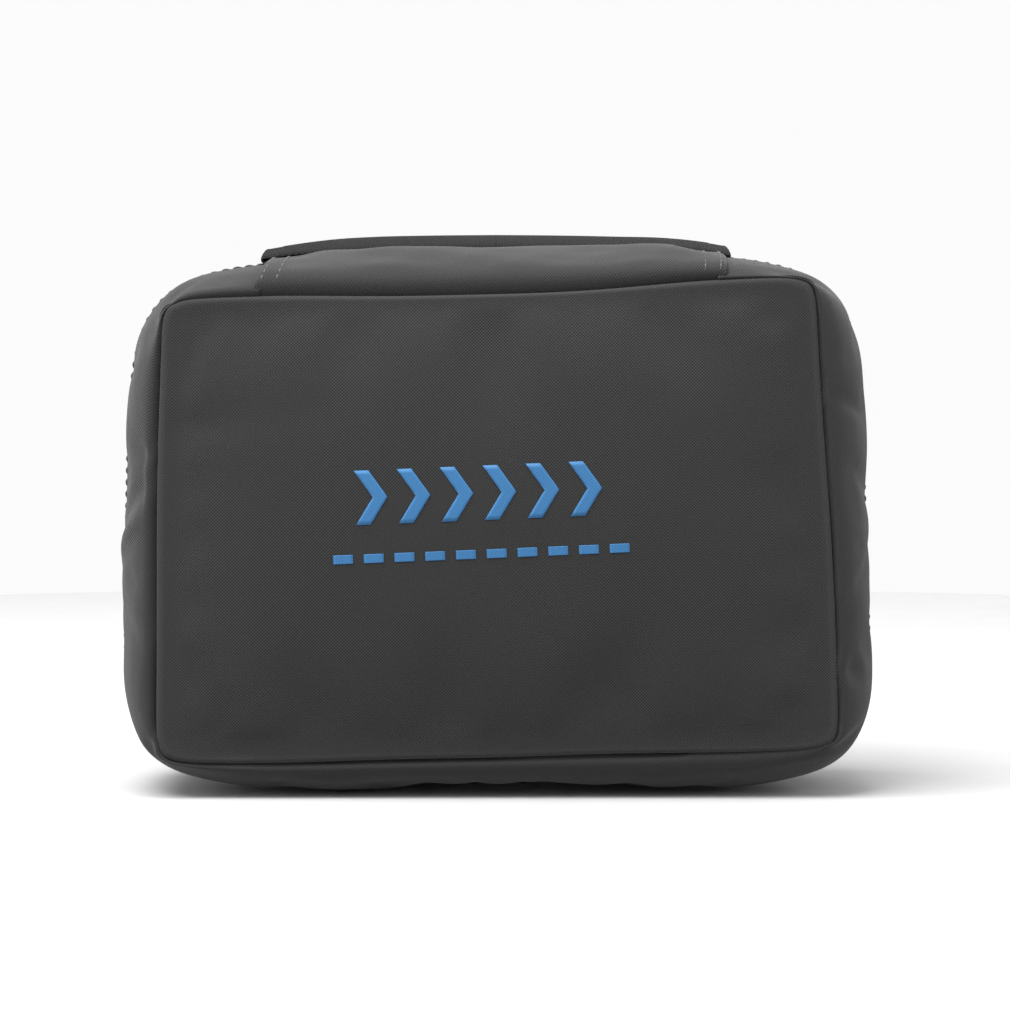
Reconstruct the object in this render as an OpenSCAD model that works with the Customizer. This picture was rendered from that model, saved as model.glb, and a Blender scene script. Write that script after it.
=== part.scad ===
// Hanging toiletry bag: two padded fabric trays joined by a fabric spine along the top,
// closed by a two-slider zip, with a carry handle and a hook that folds out of the lid.
// Origin at the centre of the base, +X to the right, front panel towards -Y, +Z up.

/* [Bag] */
// Width across the zip
bag_w = 240; // [200:1:290]
// Height from the base to the top of the spine
bag_h = 171; // [150:1:206]
// Depth from front panel to rear panel
bag_d = 80; // [72:1:98]
// How far the panel edge sits in from the zip line at each side
panel_in_x = 14; // [8:0.5:18]
// How far the panel edge sits in from the zip line at top and bottom
panel_in_z = 10.5; // [7:0.5:13]
// Squareness of the outline, from an ellipse at 2 to a square at high values
corner_power = 6; // [4:0.5:9]

/* [Cloth] */
// Thickness of the outer cloth
cloth_t = 0.9; // [0.6:0.05:1.2]
// Thickness of the foam sheet in each panel
foam_t = 3; // [2:0.25:4]
// Thickness of the lining cloth
lining_t = 0.5; // [0.3:0.05:0.8]
// Air between sewn layers
lay_gap = 0.18; // [0.15:0.01:0.25]
// Air between pieces that move past each other
move_gap = 0.3; // [0.2:0.05:0.5]

/* [Spine and handle] */
// Length of the spine along X
spine_w = 146; // [120:1:160]
// Width of the handle webbing
handle_d = 25; // [20:1:32]
// Thickness of the handle webbing
webbing_t = 1.8; // [1.2:0.1:2.2]
// Length of the part of the handle that lifts
handle_span = 120; // [100:1:130]
// Length of each sewn handle end
handle_end = 15; // [12:1:20]
// Height of the arch of the handle
handle_arch = 1.5; // [0.5:0.1:3]

/* [Zip] */
// Distance from the zip centre to the edge of the outer cloth
cloth_edge = 6.5; // [5.5:0.5:8]
// Distance from the zip centre to the sewn edge of the tape
tape_edge = 15; // [13:0.5:18]
// Thickness of the tape
tape_t = 0.5; // [0.4:0.05:0.6]
// Width of one coil row
coil_w = 2.1; // [1.8:0.1:2.4]
// Thickness of a coil row
coil_t = 1.8; // [1.4:0.1:2.2]
// Half of the gap between the coil rows
coil_gap = 0.5; // [0.4:0.05:0.6]
// How far the zip is drawn up into the base
zip_rise = 6; // [5:0.5:8]

/* [Sliders] */
// Length of a slider
slider_l = 12; // [10:0.5:14]
// Width of a slider
slider_w = 6.4; // [6:0.1:7]
// Thickness of a slider plate
plate_t = 1; // [0.8:0.1:1.2]
// Room between a coil and a slider plate
slider_room = 0.5; // [0.45:0.05:0.6]
// Length of a pull tab
tab_l = 26; // [18:1:32]
// Width of a pull tab
tab_w = 7; // [6:0.5:9]
// Thickness of a pull tab
tab_t = 1.3; // [1:0.1:1.4]

/* [Hook] */
// Inner radius of the hook's crook
crook_r = 12; // [10:0.5:13]
// Width of the hook's bar
hook_bar = 4.5; // [4:0.1:5]
// Thickness of the hook
hook_t = 5; // [4:0.1:6]
// Width of the hook's webbing tab
tab_webbing_w = 20; // [16:1:24]
// Radius of the swivel pin
swivel_r = 2; // [1.6:0.1:2.4]
// Radial running clearance of the swivel pin
swivel_fit = 0.08; // [0.03:0.01:0.1]

/* [Pockets] */
// Distance from the inside of a panel to its pocket
pocket_d = 5.6; // [5.2:0.1:6.2]
// Height of the slip pocket's edge above the base
slip_h = 80; // [60:1:90]
// Height of the lid pocket's zip above the base
pocket_zip_z = 37; // [30:1:50]
// Width of the lid pocket's tape
pocket_tape_w = 20; // [16:1:24]
// Height of the lower edge of the elastic loops
loop_z = 96; // [92:1:105]
// Width of the elastic
elastic_w = 25; // [16:1:28]
// Thickness of the elastic
elastic_t = 1; // [0.8:0.1:1.2]
// How far a loop stands off the lining
loop_out = 10.5; // [8:0.5:11]
// Number of loops
loop_count = 4; // [2:1:5]

/* [Hidden] */

charcoal = "#3b3b3e";
dark = "#1f1f21";
grey = "#58585c";
blue = "#3f87d2";
foam_white = "#d9d7d0";

half_d = bag_d / 2;
mid_z = bag_h / 2;
axis_z = bag_h - panel_in_z;
outline_steps = 72;
sweep_steps = 64;
// The outline is drawn this much deeper at the base and cut flat there, so the bag stands
base_sag = 1;
// The zip starts to rise into the base this far outside the edge of the cloth
rise_run = 5.5;

panel_back = half_d - cloth_t;
foam_front = panel_back - lay_gap;
foam_back = foam_front - foam_t;
lining_front = foam_back - lay_gap;
lining_back = lining_front - lining_t;
tape_depth = cloth_t + lay_gap;
wall_depth = tape_depth + tape_t + lay_gap;
inside_depth = wall_depth + lining_t;
coil_mid = tape_depth + tape_t / 2;
coil_out = coil_gap + coil_w;

// Share of the panel's inset that the outer surface has at a distance y from the zip plane
function inset_share(y) =
  lookup(abs(y) / half_d, [[0, 0], [0.65, 0], [0.8, 0.22], [0.925, 0.6], [1, 1]]);

// Signed power that turns a circle's sine and cosine into the squared outline
function squared(v) = sign(v) * pow(abs(v), 2 / corner_power);

function limit01(v) = min(1, max(0, v));

// Half width and half height of the outline at distance y and depth d below the surface
function half_x(y, d) = bag_w / 2 - panel_in_x * inset_share(y) - d;
function base_z(y, d) = panel_in_z * inset_share(y) + d;

// How far the base is drawn up near the zip
function rise_at(y) = zip_rise * lookup(abs(y), [[cloth_edge, 1], [cloth_edge + rise_run, 0]]);

// A point of the outline at angle a, distance y from the zip plane, depth d below the surface
function rim_point(a, y, d) =
  let (x = half_x(y, d) * squared(cos(a)))
  let (up = squared(sin(a)))
  let (low = base_z(y, d))
  let (half_z = mid_z - low)
  let (sunk = max(mid_z + (half_z + base_sag) * up, low))
  let (near_base = limit01((-up - 0.75) / 0.2))
  [x, y, up >= 0 ? mid_z + half_z * up : sunk + rise_at(y) * near_base];

// Angle of the outline, from +X, at which it reaches x
function edge_angle(x, y, d) = acos(pow(x / half_x(y, d), corner_power / 2));

// A wall that follows the outline from one end of the spine round the base to the other end.
// Its section is a loop of [distance, depth] points.
module rim_wall(section) {
  count = len(section);
  end_x = spine_w / 2 + move_gap;
  rings = [for (k = [0:sweep_steps]) [for (s = section)
    let (e = edge_angle(end_x, s[0], s[1]))
    rim_point(180 - e + (180 + 2 * e) * k / sweep_steps, s[0], s[1])]];
  sides = [for (k = [0:sweep_steps - 1]) for (j = [0:count - 1])
    let (n = (j + 1) % count)
    each [[k * count + j, k * count + n, (k + 1) * count + n],
          [k * count + j, (k + 1) * count + n, (k + 1) * count + j]]];
  base = sweep_steps * count;
  ends = [for (j = [0:count / 2 - 2])
    let (a = j, b = j + 1, c = count - 2 - j, d = count - 1 - j)
    each [[d, c, b, a], [base + a, base + b, base + c, base + d]]];
  polyhedron(points = [for (r = rings) each r], faces = concat(sides, ends));
}

// The flat outline at distance y and depth d, as a polygon in X and Z
module outline(y, d) {
  polygon([for (k = [0:outline_steps - 1])
    let (p = rim_point(360 * k / outline_steps, y, d)) [p[0], p[2]]]);
}

// Stands a flat X-Z shape up between two distances in front of the zip plane
module front_slab(from, to) {
  translate([0, -from, 0]) rotate([90, 0, 0]) linear_extrude(to - from) children();
}

// Draws a Y-Z profile along X
module along_x(length) {
  translate([-length / 2, 0, 0]) rotate([90, 0, 90]) linear_extrude(length) children();
}

// Stations of the outer surface, from behind the panel to the edge of the cloth
wall_stations = [panel_back - lay_gap, half_d * 0.925, half_d * 0.8, half_d * 0.65,
                 cloth_edge + rise_run, cloth_edge + rise_run / 2, cloth_edge];

function wall_section(stations, d0, d1) = concat(
  [for (y = stations) [-y, d0]],
  [for (k = [len(stations) - 1:-1:0]) [-stations[k], d1]]);

// ---- one half, drawn as the front; the rear half mirrors it

module panel_cloth() { front_slab(panel_back, half_d) outline(half_d, move_gap); }
module panel_foam() { front_slab(foam_back, foam_front) outline(half_d, cloth_t + 1.5); }
module panel_lining() { front_slab(lining_back, lining_front) outline(half_d, cloth_t + 0.5); }
module gusset_cloth() { rim_wall(wall_section(wall_stations, 0, cloth_t)); }

module wall_lining() {
  stations = [lining_back - lay_gap, half_d * 0.8, half_d * 0.65, cloth_edge + rise_run,
              cloth_edge + rise_run / 2, cloth_edge + 1.5];
  rim_wall(wall_section(stations, wall_depth, inside_depth));
}

module zip_tape() {
  stations = [tape_edge, cloth_edge + rise_run, cloth_edge + rise_run / 2, cloth_edge, coil_out + 0.1];
  rim_wall(wall_section(stations, tape_depth, tape_depth + tape_t));
}

module zip_coil() {
  rim_wall(wall_section([coil_out, coil_gap], coil_mid - coil_t / 2, coil_mid + coil_t / 2));
}

module front_panel() { color(charcoal) panel_cloth(); }
module front_foam() { color(foam_white) panel_foam(); }
module front_gusset() { color(charcoal) gusset_cloth(); }
module front_lining_panel() { color(dark) panel_lining(); }
module front_lining_wall() { color(dark) wall_lining(); }
module front_zip_tape() { color(dark) zip_tape(); }
module front_zip_coil() { color(dark) zip_coil(); }
module rear_panel() { color(charcoal) mirror([0, 1, 0]) panel_cloth(); }
module rear_foam() { color(foam_white) mirror([0, 1, 0]) panel_foam(); }
module rear_gusset() { color(charcoal) mirror([0, 1, 0]) gusset_cloth(); }
module rear_lining_panel() { color(dark) mirror([0, 1, 0]) panel_lining(); }
module rear_lining_wall() { color(dark) mirror([0, 1, 0]) wall_lining(); }
module rear_zip_tape() { color(dark) mirror([0, 1, 0]) zip_tape(); }
module rear_zip_coil() { color(dark) mirror([0, 1, 0]) zip_coil(); }

// ---- generic printed mark: a row of chevrons over a row of short bars

print_t = 0.2;
print_tilt = 2.4;
chevron_pitch = 13.4;
chevron_h = 17;
chevron_w = 4.6;
chevron_lean = 5.6;
bar_pitch = 9.6;
bar_size = [6.2, 2.8];

module chevron() {
  polygon([[0, 0], [chevron_w, 0], [chevron_w + chevron_lean, chevron_h / 2],
           [chevron_w, chevron_h], [0, chevron_h], [chevron_lean, chevron_h / 2]]);
}

module front_print() {
  color(blue) front_slab(half_d, half_d + print_t)
    translate([-5, mid_z + 5]) rotate(print_tilt) {
      for (k = [0:5]) translate([(k - 3) * chevron_pitch + 1.5, -2]) chevron();
      for (k = [0:9]) translate([(k - 5) * bar_pitch + 1.7, -14]) square(bar_size);
    }
}

// ---- zip end stops, crimped on the rear coil beside the spine

stop_w = 2.4;
stop_x = spine_w / 2 + move_gap + stop_w;

module zip_stops() {
  color(dark) for (side = [-1, 1])
    translate([side * stop_x - stop_w / 2, coil_gap, bag_h - tape_depth + 0.2])
      cube([stop_w, coil_w, 0.9]);
}

// ---- spine, with its lining, and the handle

// Height of the spine's outer surface at y
function spine_top(y) = bag_h - panel_in_z * inset_share(y);

// The spine folds on two lines, just outside the edges of the handle
fold_y = handle_d / 2 + 1.5;
spine_foam_t = 1.5;

// The front part of the spine, from the fold to the panel
module spine_patch() {
  ys = [-half_d + 0.2, -half_d * 0.925, -half_d * 0.8, -half_d * 0.65, -fold_y - move_gap];
  color(charcoal) along_x(spine_w) polygon(concat(
    [for (y = ys) [y, spine_top(y)]],
    [for (k = [len(ys) - 1:-1:0]) [ys[k], max(spine_top(ys[k]) - cloth_t, axis_z + lay_gap)]]));
}

// A flat layer of the middle part between two depths
module spine_layer(d0, d1, margin) {
  reach = fold_y - move_gap;
  along_x(spine_w - 2 * margin) translate([-reach, bag_h - d1]) square([2 * reach, d1 - d0]);
}

module front_spine_patch() { spine_patch(); }
module rear_spine_patch() { mirror([0, 1, 0]) spine_patch(); }
module spine_panel() { color(charcoal) spine_layer(0, cloth_t, 0); }

module spine_foam() {
  d = cloth_t + lay_gap;
  color(foam_white) spine_layer(d, d + spine_foam_t, 4);
}

module spine_lining() {
  d = cloth_t + spine_foam_t + 2 * lay_gap;
  color(dark) spine_layer(d, d + lining_t, 2);
}

handle_step = 4.6;
handle_low = bag_h + lay_gap;
handle_points = 12;

// Height of the underside of the handle at x
function handle_under(x) =
  handle_low + handle_step - webbing_t + handle_arch * (1 - pow(x * 2 / handle_span, 2));

module handle_strap() {
  reach = handle_span / 2;
  xs = [for (k = [0:handle_points]) reach * (2 * k / handle_points - 1)];
  color(grey) front_slab(-handle_d / 2, handle_d / 2)
    polygon(concat([for (x = xs) [x, handle_under(x)]],
                   [for (k = [handle_points:-1:0]) [xs[k], handle_under(xs[k]) + webbing_t]]));
}

// One end: it drops from the lifting part to the spine and lies flat there
module handle_end_side() {
  start = handle_span / 2 + move_gap;
  drop = start + handle_end * 0.45;
  stop = start + handle_end;
  high = handle_under(handle_span / 2);
  polygon([[start, high], [drop, handle_low], [stop, handle_low], [stop, handle_low + webbing_t],
           [drop, handle_low + webbing_t], [start, high + webbing_t]]);
}

module handle_ends() {
  color(grey) front_slab(-handle_d / 2, handle_d / 2)
    for (side = [0, 1]) mirror([side, 0]) handle_end_side();
}

// ---- zip sliders and pulls

coil_low = zip_rise + coil_mid - coil_t / 2;
coil_high = coil_low + coil_t;
outer_plate_z = coil_low - slider_room - plate_t;
inner_plate_z = coil_high + slider_room;
slider_x = slider_l / 2 + 1.5;
post_t = 2 * (coil_gap - move_gap);
bridge_h = 3.2;
bridge_t = 0.9;
bridge_w = 1.8;
bridge_l = 10;
tab_bar_z = outer_plate_z - (bridge_h - bridge_t) / 2;
tab_hole = [7.4, 3.2];
tab_bar = 1.3;

module slider() {
  for (z = [outer_plate_z, inner_plate_z])
    translate([-slider_l / 2, -slider_w / 2, z]) cube([slider_l, slider_w, plate_t]);
  translate([-slider_l / 4, -post_t / 2, outer_plate_z])
    cube([slider_l / 2, post_t, inner_plate_z - outer_plate_z + plate_t]);
  for (side = [-1, 1])
    translate([side * (bridge_l - bridge_t) / 2 - bridge_t / 2, -bridge_w / 2, outer_plate_z - bridge_h])
      cube([bridge_t, bridge_w, bridge_h + plate_t / 2]);
  translate([-bridge_l / 2, -bridge_w / 2, outer_plate_z - bridge_h]) cube([bridge_l, bridge_w, bridge_t]);
}

// A pull tab whose end bar lies at the origin and whose tab points along -X
module pull_tab(length) {
  translate([0, 0, -tab_t / 2]) linear_extrude(tab_t) difference() {
    translate([-length, -tab_w / 2]) square([length + tab_bar / 2, tab_w]);
    translate([-tab_hole[0] - tab_bar / 2, -tab_hole[1] / 2]) square(tab_hole);
    translate([-length + 3.2, 0]) circle(r = 1.2, $fn = 24);
  }
}

// The tab of a zip slider droops until its tip lies on what the bag stands on
tab_droop = asin((tab_bar_z - tab_t / 2 - 0.15) / tab_l);

module slider_left() { color(dark) translate([-slider_x, 0, 0]) slider(); }
module slider_right() { color(dark) translate([slider_x, 0, 0]) slider(); }

module pull_left() {
  color(dark) translate([-slider_x, 0, tab_bar_z]) rotate([0, -tab_droop, 0]) pull_tab(tab_l);
}

module pull_right() {
  color(dark) mirror([1, 0, 0]) translate([-slider_x, 0, tab_bar_z])
    rotate([0, -tab_droop, 0]) pull_tab(tab_l);
}

// ---- lid pocket: mesh, facing strip and a horizontal zip

pocket_y = lining_back - pocket_d;
pocket_cloth_t = 0.6;
pocket_in = inside_depth + move_gap;
pocket_coil = [5, 1.6];
pocket_coil_l = 2 * (half_x(half_d, 0) - 12);
pocket_slider_x = -pocket_coil_l / 2 + 12;

module pocket_layer(z0, z1) {
  front_slab(pocket_y - pocket_cloth_t, pocket_y) intersection() {
    outline(pocket_y, pocket_in);
    translate([-bag_w, z0]) square([2 * bag_w, z1 - z0]);
  }
}

module lid_mesh() {
  color("#6a6a6e") pocket_layer(pocket_zip_z + pocket_tape_w / 2 + lay_gap, bag_h - panel_in_z - 4);
}

module lid_pocket_facing() {
  color(dark) pocket_layer(0, pocket_zip_z - pocket_tape_w / 2 - lay_gap);
}

module pocket_zip_tape() {
  color(dark) pocket_layer(pocket_zip_z - pocket_tape_w / 2, pocket_zip_z + pocket_tape_w / 2);
}

module pocket_zip_coil() {
  color(dark) translate([-pocket_coil_l / 2, -pocket_y + pocket_cloth_t + 0.05, pocket_zip_z - pocket_coil[0] / 2])
    cube([pocket_coil_l, pocket_coil[1], pocket_coil[0]]);
}

pocket_slider_y = -pocket_y + pocket_cloth_t + pocket_coil[1] + move_gap;
pocket_tab_y = pocket_slider_y + plate_t + (bridge_h - bridge_t) / 2;

module pocket_slider() {
  color(dark) translate([pocket_slider_x, pocket_slider_y, pocket_zip_z]) {
    translate([-4.5, 0, -3]) cube([9, plate_t, 6]);
    for (side = [-1, 1])
      translate([side * (bridge_l - bridge_t) / 2 - bridge_t / 2, 0.5 * plate_t, -bridge_w / 2])
        cube([bridge_t, bridge_h + plate_t / 2, bridge_w]);
    translate([-bridge_l / 2, plate_t + bridge_h - bridge_t, -bridge_w / 2])
      cube([bridge_l, bridge_t, bridge_w]);
    for (side = [-1, 1])
      translate([side * (bridge_l - bridge_t) / 2 - bridge_t / 2, 0, -bridge_w / 2])
        cube([bridge_t, plate_t, bridge_w]);
  }
}

module pocket_pull() {
  color(dark) translate([pocket_slider_x, pocket_tab_y, pocket_zip_z])
    rotate([-90, 0, 0]) mirror([1, 0, 0]) pull_tab(tab_l * 0.8);
}

// ---- hook: webbing tab, swivel eye and a crook that turns

tab_y = 1.2;
root_r = webbing_t / 2;
root_z = inner_plate_z + plate_t + move_gap + root_r;
bar_r = 1.5;
bar_z = root_z + 12;
loop_r = bar_r + 0.1 + webbing_t * 0.75;
eye_t = 2 * (swivel_r + 1.4);
eye_top_z = bar_z + loop_r + 3.4;
eye_top_t = 4;
cap_t = 1.5;
pin_low = eye_top_z - 0.1;
pin_high = eye_top_z + eye_top_t + 0.2;
collar_t = 2;
crook_z = pin_high + collar_t + 2 + crook_r + hook_bar;

module hook_anchor() {
  seat = inside_depth + lay_gap;
  shelf = inner_plate_z + plate_t + move_gap;
  t = webbing_t * 0.75;
  color(dark) along_x(tab_webbing_w) polygon([
    [-23, seat], [-12.6, seat], [-5.4, shelf], [tab_y - root_r - move_gap, shelf],
    [tab_y - root_r - move_gap, shelf + t], [-6, shelf + t], [-13.2, seat + t], [-23, seat + t]]);
}

module hook_webbing() {
  color(dark) translate([0, tab_y, 0]) difference() {
    union() {
      translate([-tab_webbing_w / 2, 0, root_z]) rotate([0, 90, 0]) cylinder(r = root_r, h = tab_webbing_w, $fn = 48);
      translate([-tab_webbing_w / 2, -root_r, root_z]) cube([tab_webbing_w, webbing_t, bar_z - root_z]);
      translate([-tab_webbing_w / 2, 0, bar_z]) rotate([0, 90, 0]) cylinder(r = loop_r, h = tab_webbing_w, $fn = 48);
    }
    translate([-tab_webbing_w, 0, bar_z]) rotate([0, 90, 0]) cylinder(r = bar_r + 0.1, h = 2 * tab_webbing_w, $fn = 48);
  }
}

module hook_eye() {
  side_t = 2.4;
  inner = tab_webbing_w / 2 + move_gap;
  color(dark) translate([0, tab_y, 0]) difference() {
    union() {
      translate([-inner - side_t / 2, 0, bar_z]) rotate([0, 90, 0]) cylinder(r = bar_r, h = 2 * inner + side_t, $fn = 48);
      for (side = [-1, 1])
        translate([side * (inner + side_t / 2) - side_t / 2, -bar_r, bar_z - bar_r])
          cube([side_t, 2 * bar_r, eye_top_z + eye_top_t - bar_z + bar_r]);
      translate([-inner - side_t, -bar_r, eye_top_z]) cube([2 * (inner + side_t), 2 * bar_r, eye_top_t]);
      translate([0, 0, eye_top_z]) cylinder(r = eye_t / 2, h = eye_top_t, $fn = 48);
    }
    translate([0, 0, eye_top_z - 1]) cylinder(r = swivel_r + swivel_fit, h = eye_top_t + 2, $fn = 48);
  }
}

module swivel_cap() {
  color(dark) translate([0, tab_y, pin_low - cap_t]) cylinder(r = eye_t / 2 - 0.3, h = cap_t, $fn = 48);
}

module hook_outline() {
  outer = crook_r + hook_bar;
  translate([0, crook_z]) {
    difference() {
      circle(r = outer, $fn = 96);
      circle(r = crook_r, $fn = 96);
      polygon([[0, 0], [0.5 * outer, -0.87 * outer], [0.5 * outer, -2 * outer], [-2 * outer, -2 * outer],
               [-2 * outer, 0]]);
    }
    translate([-crook_r - hook_bar / 2, 0]) circle(r = hook_bar / 2, $fn = 32);
  }
  translate([0, crook_z]) polygon([
    [-hook_bar / 2, -outer - 2.5], [hook_bar / 2, -outer - 2.5], [hook_bar / 2 + 1, -outer - 0.5],
    [0.5 * outer + 1.4, -0.87 * outer + 0.6], [0.5 * crook_r + 0.6, -0.87 * crook_r - 0.6],
    [-hook_bar / 2 + 0.6, -outer + 2.5]]);
}

module hook() {
  color(dark) translate([0, tab_y, 0]) {
    translate([0, 0, pin_low]) cylinder(r = swivel_r, h = pin_high - pin_low + 0.5, $fn = 48);
    translate([0, 0, pin_high]) cylinder(r = eye_t / 2, h = collar_t, $fn = 48);
    translate([0, hook_t / 2, 0]) rotate([90, 0, 0]) linear_extrude(hook_t) hook_outline();
  }
}

// ---- rear pockets: elastic loops and a slip pocket

loop_span = 2 * (half_x(half_d, 0) - 14);
loop_pitch = loop_span / loop_count;
loop_facets = 12;
loop_face_y = lining_back - lay_gap;

// How far the outside of the elastic stands off the lining at share s of a loop
function loop_stand(s) = elastic_t + (loop_out - elastic_t) * pow(sin(180 * s), 2);

module elastic_loops() {
  n = loop_count * loop_facets;
  outer = [for (k = [0:n]) [-loop_span / 2 + loop_span * k / n, loop_face_y - loop_stand(k / loop_facets)]];
  inner = [for (k = [n:-1:0]) [outer[k][0], min(outer[k][1] + elastic_t, loop_face_y)]];
  color(grey) translate([0, 0, loop_z]) linear_extrude(elastic_w) polygon(concat(outer, inner));
}

module loop_tacks() {
  color(dark) for (k = [0:loop_count])
    translate([-loop_span / 2 + k * loop_pitch - 0.6, loop_face_y - elastic_t - 0.85, loop_z + 2])
      cube([1.2, 0.7, elastic_w - 4]);
}

slip_y = lining_back - pocket_d;

module slip_pocket() {
  color("#6a6a6e") mirror([0, 1, 0]) front_slab(slip_y - pocket_cloth_t, slip_y) intersection() {
    outline(slip_y, pocket_in);
    translate([-bag_w, 0]) square([2 * bag_w, slip_h]);
  }
}

module slip_pocket_elastic() {
  wrap = 0.6;
  tall = 8;
  y0 = slip_y - pocket_cloth_t - lay_gap - wrap;
  y1 = slip_y + lay_gap + wrap;
  color(grey) along_x(2 * half_x(slip_y, pocket_in) - 6) difference() {
    translate([y0, slip_h - tall]) square([y1 - y0, tall + lay_gap + wrap]);
    translate([y0 + wrap, slip_h - tall - 1]) square([y1 - y0 - 2 * wrap, tall + 1 + lay_gap]);
  }
}

front_panel();
front_foam();
front_gusset();
front_lining_panel();
front_lining_wall();
front_zip_tape();
front_zip_coil();
front_print();
lid_mesh();
lid_pocket_facing();
pocket_zip_tape();
pocket_zip_coil();
hook_anchor();
rear_panel();
rear_foam();
rear_gusset();
rear_lining_panel();
rear_lining_wall();
rear_zip_tape();
rear_zip_coil();
zip_stops();
elastic_loops();
loop_tacks();
slip_pocket();
slip_pocket_elastic();
front_spine_patch();
rear_spine_patch();
spine_panel();
spine_foam();
spine_lining();
handle_ends();
handle_strap();
hook_webbing();
hook_eye();
hook();
swivel_cap();
slider_left();
slider_right();
pull_left();
pull_right();
pocket_slider();
pocket_pull();
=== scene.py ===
import math
import bpy
import numpy as np
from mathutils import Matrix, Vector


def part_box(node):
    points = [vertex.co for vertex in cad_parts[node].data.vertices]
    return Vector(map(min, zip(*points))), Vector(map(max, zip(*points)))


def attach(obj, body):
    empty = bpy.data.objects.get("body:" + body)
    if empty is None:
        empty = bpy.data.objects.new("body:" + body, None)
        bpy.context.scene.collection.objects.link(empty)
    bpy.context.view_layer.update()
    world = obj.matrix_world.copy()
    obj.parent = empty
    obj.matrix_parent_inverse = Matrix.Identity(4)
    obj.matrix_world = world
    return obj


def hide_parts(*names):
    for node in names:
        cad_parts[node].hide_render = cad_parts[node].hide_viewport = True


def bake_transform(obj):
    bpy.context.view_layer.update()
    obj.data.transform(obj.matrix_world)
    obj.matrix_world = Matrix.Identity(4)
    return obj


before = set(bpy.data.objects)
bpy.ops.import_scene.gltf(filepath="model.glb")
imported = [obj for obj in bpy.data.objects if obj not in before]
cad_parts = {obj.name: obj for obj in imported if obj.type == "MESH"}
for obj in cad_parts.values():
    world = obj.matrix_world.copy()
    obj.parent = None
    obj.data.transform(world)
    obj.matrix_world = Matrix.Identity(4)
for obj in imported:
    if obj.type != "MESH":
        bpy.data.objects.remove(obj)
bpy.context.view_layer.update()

# Hanging toiletry bag: charcoal polyester shell, webbing handle, two-way zip, folding lining.
# Shapes are worked out in millimetres and put into the meshes in metres.

mm = 0.001
print("stage 1: CAD frame loaded")


def nodeBox(name):  # lowest and highest corner of a CAD node, mm
    low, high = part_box(name)
    return np.array(low) / mm, np.array(high) / mm


def smoothStep(t):  # 3 t^2 - 2 t^3 with t held in 0..1
    t = np.clip(t, 0.0, 1.0)
    return t * t * (3.0 - 2.0 * t)


def signedPower(v, p):  # sign(v) |v|^p
    return np.sign(v) * np.abs(v) ** p


def softCurve(t, knots, values):
    # cubic Hermite curve through (knots, values), each tangent the slope between the two neighbours
    knots, values = np.asarray(knots, float), np.asarray(values, float)
    slope = np.gradient(values, knots)
    t = np.clip(t, knots[0], knots[-1])
    k = np.clip(np.searchsorted(knots, t, side="right") - 1, 0, len(knots) - 2)
    step = knots[k + 1] - knots[k]
    s = (t - knots[k]) / step
    return ((2 * s ** 3 - 3 * s ** 2 + 1) * values[k] + (s ** 3 - 2 * s ** 2 + s) * step * slope[k]
            + (3 * s ** 2 - 2 * s ** 3) * values[k + 1] + (s ** 3 - s ** 2) * step * slope[k + 1])


def softNoise(x, y, seed, longest=120.0, shortest=25.0, waves=8):
    # sum of sines: sin(2 pi (x cos w + y sin w) / length + phase), lengths falling from longest to shortest
    rng = np.random.default_rng(seed)
    total = np.zeros(np.broadcast(x, y).shape)
    for k in range(waves):
        length = longest * (shortest / longest) ** (k / (waves - 1))
        way, phase = rng.uniform(0, 2 * math.pi, 2)
        total += np.sin(2 * math.pi * (x * math.cos(way) + y * math.sin(way)) / length + phase) \
            * (length / longest) ** 0.8
    return total / 2.5


def gridFaces(nu, nv, closeU=False, closeV=False):
    # quads i, i+1 by j, j+1 of a grid of nu rows of nv points
    stepsU, stepsV = nu - (not closeU), nv - (not closeV)
    i, j = np.meshgrid(np.arange(stepsU), np.arange(stepsV), indexing="ij")
    i2, j2 = (i + 1) % nu, (j + 1) % nv
    return np.stack([i * nv + j, i2 * nv + j, i2 * nv + j2, i * nv + j2], -1).reshape(-1, 4)


def makeMesh(name, points, faces, uv=None, paintedSheen=None):
    # points in mm; uv is the cloth's own coordinates in mm, and the fifth argument is the share of painted
    # sheen, 0..1, both per point
    mesh = bpy.data.meshes.new(name)
    points = np.asarray(points, float).reshape(-1, 3) * mm
    faces = np.asarray(faces, np.int32)
    mesh.vertices.add(len(points))
    mesh.vertices.foreach_set("co", points.ravel())
    mesh.loops.add(faces.size)
    mesh.loops.foreach_set("vertex_index", faces.ravel())
    mesh.polygons.add(len(faces))
    mesh.polygons.foreach_set("loop_start", np.arange(len(faces), dtype=np.int32) * faces.shape[1])
    mesh.polygons.foreach_set("use_smooth", np.ones(len(faces), bool))
    mesh.update(calc_edges=True)
    if uv is not None:
        layer = mesh.uv_layers.new(name="cloth")
        layer.uv.foreach_set("vector", np.asarray(uv, float).reshape(-1, 2)[faces.ravel()].ravel())
    if paintedSheen is not None:
        layer = mesh.attributes.new("paintedSheen", "FLOAT", "POINT")
        layer.data.foreach_set("value", np.ravel(paintedSheen).astype(np.float32))
    obj = bpy.data.objects.new(name, mesh)
    bpy.context.scene.collection.objects.link(obj)
    return obj


def gridMesh(name, points, uv=None, paintedSheen=None, closeU=False, closeV=False):
    # points is an array of rows by columns by 3
    return makeMesh(name, points, gridFaces(points.shape[0], points.shape[1], closeU, closeV), uv, paintedSheen)


def closedMesh(name, rings, uv=None):
    # a tube or strap whose rings close on themselves, faces outward
    obj = gridMesh(name, rings, uv, closeV=True)
    faceOutward(obj)
    return obj


def pairUv(u, v):  # cloth coordinates in mm from two arrays that broadcast
    return np.stack(np.broadcast_arrays(u, v), -1)


def addModifier(obj, kind, **settings):
    mod = obj.modifiers.new(kind.lower(), kind)
    for key, value in settings.items():
        setattr(mod, key, value)
    return mod


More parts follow.
